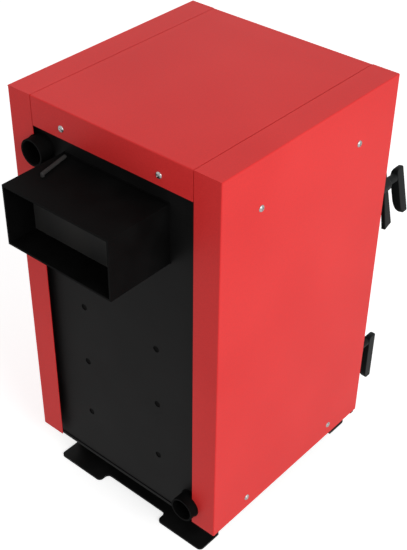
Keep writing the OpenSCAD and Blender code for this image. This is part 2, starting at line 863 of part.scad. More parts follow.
module top_wool() {
    half = seam_x - seam_w / 2 - sheet_t - wool_gap;
    color("#c9b98a") place()
        span([-half, wool_gap + top_rail_d - jacket_rear, jacket_top + face_gap],
             [half, jacket_rear - top_rail_d - wool_gap, casing_top - sheet_t - wool_gap]);
}

// Shallow sheet pan with its open side on the plate behind it
module pan(lo, hi, y_front, y_back, t) {
    half = door_half;
    difference() {
        upright(rounded([-half, lo], [half, hi], door_r), y_front, y_back);
        upright(rounded([-half + t, lo + t], [half - t, hi - t], door_r - t), y_front + t, y_back + cut);
    }
}

// Panel over the loading door, which carries the thermometer
gauge_z = (control_lo + control_hi) / 2;
pocket_d = stem_d + 2 * shell_t;
module control_panel() {
    color("#d84848") place() difference() {
        pan(control_lo, control_hi, plate_front - panel_d, plate_front, sheet_t);
        rod_y(0, gauge_z, stem_d + 2 * shell_t + 2 * wool_gap,
              plate_front - panel_d - cut, plate_front + cut);
        for (spot = control_screws) {
            rod_y(spot[0], spot[1], screw_d, plate_front - panel_d - cut, plate_front + cut);
        }
    }
}

// Cover of the front plate between the doors
module front_cover() {
    color("#242424") place() difference() {
        pan(middle_lo, middle_hi, plate_front - middle_d, plate_front, sheet_t);
        for (spot = middle_screws) {
            rod_y(spot[0], spot[1], screw_d, plate_front - middle_d - cut, plate_front + cut);
        }
    }
}

module front_cover_wool() {
    side = door_half - 2 * control_screw_in;
    color("#c9b98a") place()
        span([-side, plate_front - middle_d + sheet_t + wool_gap, middle_lo + sheet_t + wool_gap],
             [side, plate_front - face_gap, middle_hi - sheet_t - wool_gap]);
}

// Thermometer: a case with a stem in a pocket, a dial, a needle and a glass
gauge_front = plate_front - panel_d - gauge_h;
gauge_wall = 2;
dial_t = 0.8;
glass_t = 1.5;
dial_y = gauge_front + gauge_h - gauge_wall;
module thermometer_case() {
    color("#1c1c1c") place() {
        difference() {
            rod_y(0, gauge_z, gauge_d, gauge_front, gauge_front + gauge_h);
            rod_y(0, gauge_z, gauge_d - 2 * gauge_wall, gauge_front - cut, dial_y);
        }
        rod_y(0, gauge_z, stem_d, gauge_front + gauge_h, plate_back + water_gap / 2);
    }
}

module thermometer_dial() {
    color("#f2f2ee") place()
        rod_y(0, gauge_z, gauge_d - 2 * gauge_wall - 2 * face_gap, dial_y - dial_t, dial_y);
}

module thermometer_needle() {
    hub_d = 6;
    needle_w = 1.6;
    needle_t = 0.6;
    y = dial_y - dial_t;
    color("#b02020") place() {
        rod_y(0, gauge_z, hub_d, y - 2 * needle_t, y);
        translate([0, y - needle_t, gauge_z]) rotate([0, -needle_angle, 0])
            translate([-needle_w / 2, 0, -hub_d])
                cube([needle_w, needle_t, gauge_d / 2 - 2 * gauge_wall + hub_d / 2]);
    }
}
needle_angle = 120;

module thermometer_glass() {
    color("#d8e4ea", 0.4) place()
        rod_y(0, gauge_z, gauge_d - 2 * gauge_wall, gauge_front + face_gap,
              gauge_front + face_gap + glass_t);
}

module thermometer_pocket() {
    tip = plate_back + water_gap - shell_t;
    color("#b5893c") place() difference() {
        rod_y(0, gauge_z, pocket_d, plate_front, tip);
        rod_y(0, gauge_z, stem_d, plate_front - cut, tip - shell_t);
    }
}

// Door plate with its rope channel, hinge knuckles and spindle bush
module door_plate(lo, hi, clear_w, spindle_x, spindle_z) {
    inner = clear_w / 2 + frame_t / 2 - rope_w / 2;
    difference() {
        union() {
            upright(rounded([-door_half, lo], [door_half, hi], door_r), door_front, door_back);
            ring_y(inner - channel_t, rope_lo(lo) + channel_t, rope_hi(hi) - channel_t, channel_t,
                   door_back, door_back + channel_d);
            ring_y(inner + rope_w, rope_lo(lo) - rope_w, rope_hi(hi) + rope_w, channel_t,
                   door_back, door_back + channel_d);
            rod_y(spindle_x, spindle_z, bush_d, cover_front, door_back);
            for (z = hinge_heights(lo, hi)) {
                z_up = z + knuckle_h + knuckle_gap;
                translate([hinge_x, hinge_y, z_up]) cylinder(d = knuckle_d, h = knuckle_h);
                span([door_half - knuckle_d, door_front, z_up],
                     [hinge_x, door_back, z_up + knuckle_h]);
            }
        }
        rod_y(spindle_x, spindle_z, spindle_d + 2 * running_gap, cover_front - cut, door_back + cut);
        for (z = hinge_heights(lo, hi)) {
            translate([hinge_x, hinge_y, z + knuckle_h - cut])
                cylinder(d = pin_d + 2 * running_gap, h = knuckle_h + 3 * cut);
        }
        for (spot = door_screws(lo, hi)) {
            rod_y(spot[0], spot[1], screw_d, door_front - cut, door_back + cut);
        }
    }
}

// The rope runs over the middle of the frame's wall
function rope_lo(lo) = clear_lo(lo) - frame_t / 2 + rope_w / 2;
function rope_hi(hi) = clear_hi(hi) + frame_t / 2 - rope_w / 2;
function door_screws(lo, hi) = [for (side = [-1, 1], z = [lo + control_screw_in,
    hi - control_screw_in]) [side * (door_half - control_screw_in), z]];

module door_rope(lo, hi, clear_w) {
    inner = clear_w / 2 + frame_t / 2 - rope_w / 2;
    ring_y(inner, rope_lo(lo), rope_hi(hi), rope_w, door_back, frame_rim - face_gap);
}

// Insulating block that fills the frame behind the door plate
module door_block(lo, hi, clear_w, depth_front, depth_back, step) {
    half = clear_w / 2 - block_gap - step;
    span([-half, depth_front, clear_lo(lo) + block_gap + step],
         [half, depth_back, clear_hi(hi) - block_gap - step]);
}

module shield_screw_places(lo, hi, clear_w) {
    inset = block_gap + 2 * control_screw_in;
    for (side = [-1, 1], z = [clear_lo(lo) + inset, clear_hi(hi) - inset]) {
        translate([side * (clear_w / 2 - inset), 0, z]) children();
    }
}

block_back = door_back + block_d;
shield_back = block_back + shield_t;

module loading_door_plate() {
    color("#232323") place() door_plate(loading_lo, loading_hi, loading_clear_w,
                                        loading_spindle_x, loading_spindle_z);
}

// Sheet cover of a door, with its wool inside
module door_cover(lo, hi, spindle_x, spindle_z) {
    difference() {
        pan(lo, hi, cover_front, door_front, sheet_t);
        rod_y(spindle_x, spindle_z, bush_d, cover_front - cut, door_front + cut);
        for (spot = door_screws(lo, hi)) {
            rod_y(spot[0], spot[1], screw_d, cover_front - cut, door_front + cut);
        }
    }
}

module loading_door_cover() {
    color("#262626") place()
        door_cover(loading_lo, loading_hi, loading_spindle_x, loading_spindle_z);
}

module loading_door_wool() {
    side = door_half - 2 * control_screw_in;
    color("#c9b98a") place()
        span([-side, cover_front + sheet_t + face_gap, loading_lo + sheet_t + wool_gap],
             [side, door_front - face_gap, loading_hi - sheet_t - wool_gap]);
}

module loading_door_rope() {
    color("#d9d6cc") place() door_rope(loading_lo, loading_hi, loading_clear_w);
}

module loading_door_block() {
    color("#b9a98c") place() difference() {
        door_block(loading_lo, loading_hi, loading_clear_w, door_back, block_back, 0);
        shield_screw_places(loading_lo, loading_hi, loading_clear_w)
            rod_y(0, 0, screw_d, block_back - shank_l, block_back + cut);
    }
}

module loading_door_shield() {
    color("#3a3431") place() difference() {
        door_block(loading_lo, loading_hi, loading_clear_w, block_back, shield_back, wool_gap);
        shield_screw_places(loading_lo, loading_hi, loading_clear_w)
            rod_y(0, 0, screw_d, block_back - cut, shield_back + cut);
    }
}

// Cover screws in front and shield screws behind
module door_screw_set(lo, hi, clear_w) {
    for (spot = door_screws(lo, hi)) {
        front_screw(spot[0], spot[1], cover_front, cover_d + door_t);
    }
    shield_screw_places(lo, hi, clear_w) {
        translate([0, shield_back, 0]) rotate([-90, 0, 0]) screw(shank_l);
    }
}

module loading_door_screws() {
    color("#8f8f8d") place() door_screw_set(loading_lo, loading_hi, loading_clear_w);
}

// Puts a latch piece on its spindle's axis, turned to the handle's rest
module at_spindle(x, z, tilt) {
    translate([x, 0, z]) rotate([0, tilt, 0]) children();
}

neck_l = 27;
neck_d = 16;
arm_front = grip_back + neck_l;
arm_t = 13;
arm_foot_t = 21;
arm_hub_d = 26;
collar_d = bush_d - 2 * wool_gap;
spindle_tip = grip_back - grip_d / 3;

module latch_spindle(x, z, tilt) {
    at_spindle(x, z, tilt) {
        rod_y(0, 0, spindle_d, spindle_tip, tongue_front + tongue_t);
        rod_y(0, 0, collar_d, door_back + face_gap, tongue_front);
    }
}

// Tongue that turns behind the keeper's lip
module latch_tongue(x, z, tilt) {
    at_spindle(x, z, tilt) difference() {
        union() {
            rod_y(0, 0, collar_d, tongue_front, tongue_front + tongue_t);
            rod_y(0, tongue_len - tongue_w / 2, tongue_w, tongue_front, tongue_front + tongue_t);
            span([-tongue_w / 2, tongue_front, 0],
                 [tongue_w / 2, tongue_front + tongue_t, tongue_len - tongue_w / 2]);
        }
        rod_y(0, 0, spindle_d, tongue_front - cut, tongue_front + tongue_t + cut);
    }
}

// Cast arm on the spindle, which grows deeper toward its chamfered foot
module latch_arm(x, z, tilt) {
    hub_back = cover_front - 2 * face_gap;
    foot_slope = 6;
    top_slope = 4;
    at_spindle(x, z, tilt) difference() {
        union() {
            rod_y(0, 0, arm_hub_d, arm_front, hub_back);
            translate([-arm_w / 2, 0, 0]) rotate([90, 0, 90]) linear_extrude(height = arm_w)
                polygon([[arm_front, arm_top - top_slope], [arm_front + top_slope, arm_top],
                         [arm_front + arm_t, arm_top], [arm_front + arm_t, -arm_hub_d / 2],
                         [arm_front + arm_foot_t, -arm_length],
                         [arm_front, -arm_length + foot_slope]]);
        }
        rod_y(0, 0, spindle_d, arm_front - cut, hub_back + cut);
    }
}

// Part of an ellipse, from one angle to another
function bow(centre, wide, tall, from, to, steps = 12) =
    [for (i = [0:steps]) centre + [wide * cos(from + (to - from) * i / steps),
                                   tall * sin(from + (to - from) * i / steps)]];

// Moulded grip, straight outside and bowed toward the hinges and the door: its side profile,
// cut by its front view, with a neck to the arm
module grip(x, z, tilt, up, down) {
    back = grip_back;
    front = grip_front;
    half = grip_w / 2;
    edge_r = grip_w / 6;
    bow_w = grip_w - 2 * edge_r;
    bow_top = 24;
    bow_foot = 32;
    heel_d = grip_d / 2;
    heel_h = 18;
    crown_r = grip_d / 2;
    side_profile = concat(
        arc([front + edge_r, up - edge_r], edge_r, 180, 90),
        arc([back - crown_r, up - crown_r], crown_r, 90, 0),
        bow([back - heel_d, -down + heel_h], heel_d, heel_h, 0, -90),
        arc([front + edge_r, -down + edge_r], edge_r, 270, 180));
    front_view = concat(
        bow([half - bow_w, up - bow_top], bow_w, bow_top, 0, 90),
        arc([-half + edge_r, up - edge_r], edge_r, 90, 180),
        arc([-half + edge_r, -down + edge_r], edge_r, 180, 270),
        bow([half - bow_w, -down + bow_foot], bow_w, bow_foot, 270, 360));
    at_spindle(x, z, tilt) difference() {
        union() {
            intersection() {
                translate([-half, 0, 0]) rotate([90, 0, 90])
                    linear_extrude(height = grip_w) polygon(side_profile);
                upright(front_view, front - cut, back + cut);
            }
            rod_y(0, 0, neck_d, back - grip_d / 2, arm_front);
        }
        rod_y(0, 0, spindle_d, spindle_tip, arm_front + cut);
    }
}

module loading_latch_spindle() {
    color("#8a8c8c") place() latch_spindle(loading_spindle_x, loading_spindle_z, loading_tilt);
}

module loading_latch_tongue() {
    color("#1f1f1f") place() latch_tongue(loading_spindle_x, loading_spindle_z, loading_tilt);
}

module loading_latch_arm() {
    color("#2a2b2b") place() latch_arm(loading_spindle_x, loading_spindle_z, loading_tilt);
}

module loading_grip() {
    color("#2c2e2e") place() grip(loading_spindle_x, loading_spindle_z, loading_tilt,
                                  loading_grip_up, loading_grip_down);
}

// Ash door, which also carries the air inlet and its flap
inlet_z = ash_lo + inlet_base;
module inlet_cut(y_front, y_back, extra) {
    span([inlet_x - inlet_w / 2 - extra, y_front - cut, inlet_z - inlet_h / 2 - extra],
         [inlet_x + inlet_w / 2 + extra, y_back + cut, inlet_z + inlet_h / 2 + extra]);
}

module ash_door_plate() {
    color("#232323") place() difference() {
        door_plate(ash_lo, ash_hi, ash_clear_w, ash_spindle_x, ash_spindle_z);
        inlet_cut(door_front, door_back, 0);
    }
}

lug_t = 5;
lug_gap = 0.5;
flap_half = inlet_w / 2 + flap_lap;
flap_axis_z = inlet_z + inlet_h / 2 + flap_lap + flap_pin_d;
flap_axis_y = cover_front - face_gap - flap_t - flap_pin_d / 4;
flap_knuckle_d = flap_pin_d + 2 * channel_t - wool_gap;
module ash_door_cover() {
    color("#262626") place() difference() {
        union() {
            door_cover(ash_lo, ash_hi, ash_spindle_x, ash_spindle_z);
            for (side = [-1, 1]) {
                low = side > 0 ? flap_half + lug_gap : -flap_half - lug_gap - lug_t;
                translate([inlet_x + low, 0, 0]) {
                    rod_x(flap_axis_y, flap_axis_z, flap_knuckle_d, 0, lug_t);
                    span([0, flap_axis_y, flap_axis_z - flap_knuckle_d / 2],
                         [lug_t, cover_front, flap_axis_z + flap_knuckle_d / 2]);
                }
            }
        }
        inlet_cut(cover_front, door_front, 0);
        rod_x(flap_axis_y, flap_axis_z, flap_pin_d, inlet_x - flap_half - 2 * lug_t - cut,
              inlet_x + flap_half + 2 * lug_t + cut);
    }
}

module air_flap_pin() {
    reach = flap_half + lug_gap + lug_t + wool_gap;
    color("#9a9a98") place() rod_x(flap_axis_y, flap_axis_z, flap_pin_d,
                                   inlet_x - reach, inlet_x + reach);
}

// Flap over the air inlet, hung on its pin, with an eye at its lower edge
module air_flap() {
    back = cover_front - face_gap;
    eye_d = 14;
    low = inlet_z - inlet_h / 2 - flap_lap;
    color("#2a2b2b") place() difference() {
        union() {
            upright(rounded([inlet_x - flap_half, low], [inlet_x + flap_half, flap_axis_z], flap_t),
                    back - flap_t, back);
            rod_x(flap_axis_y, flap_axis_z, flap_knuckle_d, inlet_x - flap_half, inlet_x + flap_half);
            translate([inlet_x - flap_t / 2, 0, 0]) {
                rod_x(back - flap_t - eye_d / 2, low + eye_d / 2, eye_d, 0, flap_t);
                span([0, back - flap_t - eye_d / 2, low], [flap_t, back - flap_t, low + eye_d]);
            }
        }
        rod_x(flap_axis_y, flap_axis_z, flap_pin_d + 2 * running_gap,
              inlet_x - flap_half - cut, inlet_x + flap_half + cut);
        rod_x(back - flap_t - eye_d / 2, low + eye_d / 2, eye_d / 2,
              inlet_x - flap_t, inlet_x + flap_t);
    }
}

module ash_door_rope() {
    color("#d9d6cc") place() door_rope(ash_lo, ash_hi, ash_clear_w);
}

module ash_door_block() {
    color("#b9a98c") place() difference() {
        door_block(ash_lo, ash_hi, ash_clear_w, door_back, block_back, 0);
        inlet_cut(door_back, block_back, 0);
        shield_screw_places(ash_lo, ash_hi, ash_clear_w)
            rod_y(0, 0, screw_d, block_back - shank_l, block_back + cut);
    }
}

module ash_door_shield() {
    color("#3a3431") place() difference() {
        door_block(ash_lo, ash_hi, ash_clear_w, block_back, shield_back, wool_gap);
        inlet_cut(block_back, shield_back, 0);
        shield_screw_places(ash_lo, ash_hi, ash_clear_w)
            rod_y(0, 0, screw_d, block_back - cut, shield_back + cut);
    }
}

module ash_door_screws() {
    color("#8f8f8d") place() door_screw_set(ash_lo, ash_hi, ash_clear_w);
}

module ash_latch_spindle() {
    color("#8a8c8c") place() latch_spindle(ash_spindle_x, ash_spindle_z, 0);
}

module ash_latch_tongue() {
    color("#1f1f1f") place() latch_tongue(ash_spindle_x, ash_spindle_z, 0);
}

module ash_latch_arm() {
    color("#2a2b2b") place() latch_arm(ash_spindle_x, ash_spindle_z, 0);
}

module ash_grip() {
    color("#2c2e2e") place() grip(ash_spindle_x, ash_spindle_z, 0, ash_grip_up, ash_grip_down);
}

// Open tray on the bottom plate, with a pull at its front
pull_d = 6;
pull_w = 90;
pull_out = 16;
module ash_pan() {
    half = ash_clear_w / 2 - pan_gap;
    back = fire_rear - pan_gap;
    front = shield_back + pan_front_gap + pull_out;
    low = clear_lo(ash_lo) + face_gap;
    high = low + pan_h;
    pull_z = high - pan_h / 3;
    color("#45403c") place() {
        difference() {
            span([-half, front, low], [half, back, high]);
            span([-half + pan_t, front + pan_t, low + pan_t], [half - pan_t, back - pan_t, high + cut]);
        }
        rod_x(front - pull_out + pull_d / 2, pull_z, pull_d, -pull_w / 2, pull_w / 2);
        for (side = [-1, 1]) {
            rod_y(side * (pull_w / 2 - pull_d / 2), pull_z, pull_d, front - pull_out + pull_d / 2, front);
        }
    }
}

outer_jacket();
front_plate();
firebox_shell();
bottom_plate();
stay_bolts();
loading_door_frame();
ash_door_frame();
water_shelf();
flue_duct();
supply_pipe();
return_pipe();
rear_foot_rail();
front_foot_rail();
grate_ledges();
grate_bars();
pan_rails();
hinge_brackets();
hinge_pins();
latch_keepers();
side_panel_left();
side_panel_right();
top_panel();
top_rails();
panel_standoffs();
casing_screws();
side_wool();
top_wool();
control_panel();
front_cover();
front_cover_wool();
thermometer_case();
thermometer_dial();
thermometer_needle();
thermometer_glass();
thermometer_pocket();
loading_door_plate();
loading_door_cover();
loading_door_wool();
loading_door_rope();
loading_door_block();
loading_door_shield();
loading_door_screws();
loading_latch_spindle();
loading_latch_tongue();
loading_latch_arm();
loading_grip();
ash_door_plate();
ash_door_cover();
ash_door_rope();
ash_door_block();
ash_door_shield();
ash_door_screws();
air_flap_pin();
air_flap();
ash_latch_spindle();
ash_latch_tongue();
ash_latch_arm();
ash_grip();
ash_pan();
damper();
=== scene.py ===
# %% [markdown]
# A solid fuel boiler is a steel water jacket round a fire, dressed in folded sheet. The CAD model
# holds every piece at its real size, so this lesson loads it as a fixed frame. It then adds what
# a CAD solid leaves out: finishes, small forms such as weld beads, a camera and light.

# %% Load the frame
import math

import bmesh
import bpy
from mathutils import Matrix, Vector, noise


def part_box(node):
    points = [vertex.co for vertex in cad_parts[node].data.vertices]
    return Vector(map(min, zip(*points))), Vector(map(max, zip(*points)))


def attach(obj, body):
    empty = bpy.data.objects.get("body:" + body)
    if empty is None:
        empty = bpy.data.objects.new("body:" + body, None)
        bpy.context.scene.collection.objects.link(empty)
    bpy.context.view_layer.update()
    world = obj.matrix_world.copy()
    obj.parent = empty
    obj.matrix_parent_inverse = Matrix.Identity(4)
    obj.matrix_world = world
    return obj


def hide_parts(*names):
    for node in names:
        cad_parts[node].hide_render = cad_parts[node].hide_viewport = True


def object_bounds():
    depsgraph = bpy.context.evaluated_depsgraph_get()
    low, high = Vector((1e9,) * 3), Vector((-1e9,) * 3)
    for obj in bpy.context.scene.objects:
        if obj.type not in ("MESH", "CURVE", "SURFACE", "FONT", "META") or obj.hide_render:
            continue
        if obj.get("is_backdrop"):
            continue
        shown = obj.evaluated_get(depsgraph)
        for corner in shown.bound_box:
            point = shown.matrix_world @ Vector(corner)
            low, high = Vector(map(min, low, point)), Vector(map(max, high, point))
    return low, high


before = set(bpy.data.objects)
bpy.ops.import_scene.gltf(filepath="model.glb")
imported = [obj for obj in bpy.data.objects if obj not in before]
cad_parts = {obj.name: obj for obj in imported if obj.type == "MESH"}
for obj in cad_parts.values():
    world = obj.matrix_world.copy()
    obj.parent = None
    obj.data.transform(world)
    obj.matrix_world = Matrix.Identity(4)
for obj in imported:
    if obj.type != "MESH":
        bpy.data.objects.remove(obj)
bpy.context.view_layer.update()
MM = 0.001


# %% [markdown]
# Every colour below is written as the hex value that a paint chart would give. Blender's shaders
# want linear light, so one function turns the first into the second. A second small function
# adds a node, sets its values and links its inputs, which keeps every node tree short to read.

# %% Colour and node helpers
def linear(hex_colour):
    channels = [int(hex_colour[i:i + 2], 16) / 255 for i in (1, 3, 5)]
    return [c / 12.92 if c <= 0.04045 else ((c + 0.055) / 1.055) ** 2.4 for c in channels] + [1.0]


def add_node(tree, kind, links=None, values=None, **settings):
    node = tree.nodes.new(kind)
    for name, value in settings.items():
        setattr(node, name, value)
    for name, value in (values or {}).items():
        node.inputs[name].default_value = value
    for name, source in (links or {}).items():
        tree.links.new(source, node.inputs[name])
    return node


print("#808080 in linear light:", round(linear("#808080")[0], 3))


# %% [markdown]
# A finish starts as Blender's Principled shader. A pattern can drive its colour between two
# tones, its roughness between two values, and a fine relief. Painted images could do the same,
# but each piece would need a layout for them, with seams. Patterns made by nodes read the place
# on the piece in metres instead, so each one keeps its real size on every piece.

# %% Start and wire a finish
def new_finish(name, **sockets):
    finish = bpy.data.materials.new(name)
    finish.use_nodes = True
    shader = finish.node_tree.nodes["Principled BSDF"]
    for socket, value in sockets.items():
        shader.inputs[socket.replace("_", " ")].default_value = value
    place = add_node(finish.node_tree, "ShaderNodeTexCoord").outputs["Object"]
    return finish, finish.node_tree, place


# Blender's noise runs from 0 to 1, but it seldom leaves this span.
noise_low, noise_high = 0.3, 0.7


def wire_surface(tree, tone=None, rough=None, relief=None, stops=(0.35, 0.65)):
    shader = tree.nodes["Principled BSDF"]
    if tone:
        pattern, *hex_colours = tone
        ramp = add_node(tree, "ShaderNodeValToRGB", {"Fac": pattern})
        for element, stop, hex_colour in zip(ramp.color_ramp.elements, stops, hex_colours):
            element.position = stop
            element.color = linear(hex_colour)
        tree.links.new(ramp.outputs["Color"], shader.inputs["Base Color"])
    if rough:
        pattern, low, high = rough
        span = add_node(tree, "ShaderNodeMapRange", {"Value": pattern},
                        {"From Min": noise_low, "From Max": noise_high,
                         "To Min": low, "To Max": high})
        tree.links.new(span.outputs[0], shader.inputs["Roughness"])
    if relief:
        pattern, depth_mm = relief
        bump = add_node(tree, "ShaderNodeBump", {"Height": pattern},
                        {"Distance": depth_mm * MM, "Strength": 1.0})
        tree.links.new(bump.outputs["Normal"], shader.inputs["Normal"])


# %% [markdown]
# The casing, the doors and their cover are powder-coated sheet steel. The powder melts into a
# skin with a fine orange-peel grain, so light breaks up on it and no edge is mirrored. The real
# grain is about 1 mm and would vanish in the picture, so it is drawn at 2 mm. That alone would
# leave large panels flat, so a wide, faint cloud is mixed into the colour.

# %% Powder coat
def powder_coat(name, deep_hex, light_hex):
    peel_mm, peel_depth_mm = 2.0, 0.12
    cloud_mm, cloud_share = 180.0, 0.4
    finish, tree, place = new_finish(name, Specular_IOR_Level=0.22)
    peel = add_node(tree, "ShaderNodeTexNoise", {"Vector": place},
                    {"Scale": 1 / (peel_mm * MM), "Detail": 3.0, "Roughness": 0.6})
    cloud = add_node(tree, "ShaderNodeTexNoise", {"Vector": place},
                     {"Scale": 1 / (cloud_mm * MM), "Detail": 1.0, "Roughness": 0.5})
    mixed = add_node(tree, "ShaderNodeMix", {"A": peel.outputs["Fac"], "B": cloud.outputs["Fac"]},
                     {"Factor": cloud_share}, data_type="FLOAT")
    wire_surface(tree, (mixed.outputs[0], deep_hex, light_hex), (peel.outputs["Fac"], 0.42, 0.56),
                 (peel.outputs["Fac"], peel_depth_mm))
    return finish


# A satin red that looks even from a step away and soft in its highlights.
red_powder_coat = powder_coat("red_powder_coated_sheet_steel", "#dc2b2b", "#e83635")
# The same coat in black, which reads as charcoal beside the red.
black_powder_coat = powder_coat("black_powder_coated_door_steel", "#1b1b1b", "#232323")
print("finishes:", red_powder_coat.name, black_powder_coat.name)


# %% [markdown]
# The jacket, the flue and the fittings carry sprayed stove paint, which dries matt and a little
# uneven. The damper is bare hot-rolled plate. Steel that meets the fire or the ash stays
# unpainted, and turns brown with scale or grey with dust. All of them show a fine grain that is
# felt as relief and wide patches that are seen as tone, so one function makes them all. The real
# grain is finer than half a millimetre, and it is drawn about four times as coarse so that it shows.

# %% Painted, rolled, scaled and dusted steel
def patchy_steel(name, deep_hex, light_hex, rough_low, rough_high, specular=0.1):
    spray_mm, spray_depth_mm, patch_mm = 1.6, 0.06, 60.0
    finish, tree, place = new_finish(name, Specular_IOR_Level=specular)
    spray = add_node(tree, "ShaderNodeTexNoise", {"Vector": place},
                     {"Scale": 1 / (spray_mm * MM), "Detail": 2.0, "Roughness": 0.5})
    patches = add_node(tree, "ShaderNodeTexNoise", {"Vector": place},
                       {"Scale": 1 / (patch_mm * MM), "Detail": 3.0, "Roughness": 0.5})
    wire_surface(tree, (patches.outputs["Fac"], deep_hex, light_hex),
                 (patches.outputs["Fac"], rough_low, rough_high),
                 (spray.outputs["Fac"], spray_depth_mm))
    return finish


# Matt black with a trace of sheen, as sprayed on the plate of the jacket.
jacket_paint = patchy_steel("black_stove_paint_on_plate", "#0f0f0f", "#131313", 0.5, 0.57, 0.08)
# The deadest black: flue paint baked by the smoke's heat, made darker still as painted shade for the
# duct's shaded top.
flue_paint_darkened_as_shade = patchy_steel("black_flue_paint_darkened_as_shade", "#0a0a0a", "#0f0f0f", 0.45, 0.6, 0.02)
# A slightly smoother black on the small fittings and the feet.
hardware_paint = patchy_steel("black_paint_on_fittings", "#101010", "#161616", 0.35, 0.5)
# Dark grey mill scale, lighter than any paint here, so the damper shows inside the flue.
damper_plate = patchy_steel("hot_rolled_damper_plate", "#2e2e2e", "#373635", 0.5, 0.65)
# Brown and dull, from years of heat.
fire_scale = patchy_steel("heat_scaled_steel_plate", "#2a2421", "#3d332c", 0.7, 0.9, 0.3)
# Warm grey, because fine ash hides the metal.
pan_sheet = patchy_steel("ash_dusted_sheet_steel", "#3a3733", "#56524c", 0.65, 0.85, 0.3)
print("steel finishes:", ", ".join(f.name for f in (jacket_paint, flue_paint_darkened_as_shade, hardware_paint,
                                                    damper_plate, fire_scale, pan_sheet)))


# %% [markdown]
# Plated, turned, cast and moulded pieces each have one grain, and their tone, shine and relief
# all follow it: the bloom of zinc, the tarnish of brass, the sand that iron was poured in, or
# the eroded skin of a plastic mould. So they share one function and differ in the grain's size.
# Real sand and mould grain is a few tenths of a millimetre, and it is drawn at about one.

# %% Metals, plastics and enamels with one grain
def grained_finish(name, tones, rough, grain_mm, detail, crumble=0.5, relief_mm=None, **sockets):
    finish, tree, place = new_finish(name, **sockets)
    grain = add_node(tree, "ShaderNodeTexNoise", {"Vector": place},
                     {"Scale": 1 / (grain_mm * MM), "Detail": detail, "Roughness": crumble})
    pattern = grain.outputs["Fac"]
    wire_surface(tree, (pattern, *tones), (pattern, *rough), relief_mm and (pattern, relief_mm))
    return finish


# Bright, with a bluish bloom that keeps it from looking like chrome.
bright_zinc = grained_finish("zinc_plated_screw_steel", ("#94979a", "#bdbdb9"), (0.22, 0.38),
                             3.0, 3.0, Metallic=1.0)
# Warm yellow, dulled in spots.
pocket_brass = grained_finish("turned_brass", ("#a5803a", "#c9a050"), (0.25, 0.4),
                              6.0, 3.0, Metallic=1.0)
# Rough and dry, brown-grey from the fire.
grate_iron = grained_finish("sand_cast_grate_iron", ("#2b2725", "#453e39"), (0.7, 0.9),
                            1.5, 4.0, 0.65, 0.25, Specular_IOR_Level=0.15)
# The sand's grain still shows through the black paint.
arm_iron = grained_finish("painted_cast_latch_arm", ("#131414", "#1b1c1c"), (0.4, 0.55),
                          1.5, 4.0, 0.65, 0.25, Specular_IOR_Level=0.15)
# Phenolic plastic from an eroded mould: black with a soft, even sheen.
grip_plastic = grained_finish("moulded_heatproof_plastic", ("#151717", "#1c1e1e"), (0.42, 0.55),
                              0.9, 2.0, relief_mm=0.05, Specular_IOR_Level=0.1)
# Polished black plastic that mirrors the room a little.
case_plastic = grained_finish("gloss_gauge_case", ("#0e0e0e", "#141414"), (0.15, 0.22),
                              0.9, 2.0, relief_mm=0.05, Specular_IOR_Level=0.4)
# Baked white enamel, clean and slightly warm.
dial_enamel = grained_finish("white_dial_enamel", ("#eeeeea", "#f6f6f3"), (0.4, 0.5),
                             0.9, 2.0, relief_mm=0.05, Specular_IOR_Level=0.4)
# Signal red, to be read from a distance.
needle_enamel = grained_finish("red_needle_enamel", ("#b01c1c", "#c02424"), (0.35, 0.45),
                               0.9, 2.0, relief_mm=0.05, Specular_IOR_Level=0.4)
# Printing ink is thin, so it is dry and has no relief.
dial_ink = grained_finish("printed_black_dial_ink", ("#101010", "#1c1c1c"), (0.45, 0.6),
                          0.6, 2.0, Specular_IOR_Level=0.3)
print("one-grain finishes end with:", dial_ink.name)


# %% [markdown]
# Galvanised sheet cools into crystals, and mineral board is pressed from flakes. Noise has no
# borders between its spots, so both use Voronoi cells at the size of the crystals or flakes.

# %% Crystals and flakes
def galvanised_sheet():
    crystal_mm = 7
    finish, tree, place = new_finish("galvanised_bracket_steel", Metallic=1.0)
    crystals = add_node(tree, "ShaderNodeTexVoronoi", {"Vector": place},
                        {"Scale": 1 / (crystal_mm * MM)})
    wire_surface(tree, (crystals.outputs["Distance"], "#8d9090", "#a9acab"),
                 (crystals.outputs["Distance"], 0.4, 0.55), stops=(0.1, 0.9))
    return finish


def pressed_board():
    flake_mm, flake_depth_mm = 3, 0.4
    finish, tree, place = new_finish("pressed_mineral_board", Specular_IOR_Level=0.2)
    flakes = add_node(tree, "ShaderNodeTexVoronoi", {"Vector": place},
                      {"Scale": 1 / (flake_mm * MM)})
    wire_surface(tree, (flakes.outputs["Color"], "#a08a66", "#c9b891"),
                 (flakes.outputs["Distance"], 0.75, 0.95),
                 (flakes.outputs["Distance"], flake_depth_mm), stops=(0.2, 0.8))
    return finish


# Duller than zinc plate, with pale patches.
bracket_zinc = galvanised_sheet()
# Sand-coloured and dry, with a mosaic of flakes.
mineral_board = pressed_board()
print("cell finishes:", bracket_zinc.name, mineral_board.name)


# %% [markdown]
# Mineral wool and glass rope are spun fibre. Real strands are finer than a hair and wouldn't
# show, so they are drawn as streaks some millimetres long: noise, squeezed five times in one
# direction. Sheen adds the pale edge that fibre has against the light.

# %% Spun fibre
def spun_fibre(name, deep_hex, light_hex, strand_mm):
    squeeze, strand_depth_mm = 5.0, 1.2
    finish, tree, place = new_finish(name, Specular_IOR_Level=0.1, Sheen_Weight=0.3)
    squeezed = add_node(tree, "ShaderNodeMapping", {"Vector": place}, {"Scale": (1.0, 1.0, squeeze)})
    strands = add_node(tree, "ShaderNodeTexNoise", {"Vector": squeezed.outputs["Vector"]},
                       {"Scale": 1 / (strand_mm * MM), "Detail": 5.0, "Roughness": 0.7})
    pattern = strands.outputs["Fac"]
    wire_surface(tree, (pattern, deep_hex, light_hex), (pattern, 0.85, 1.0),
                 (pattern, strand_depth_mm))
    return finish


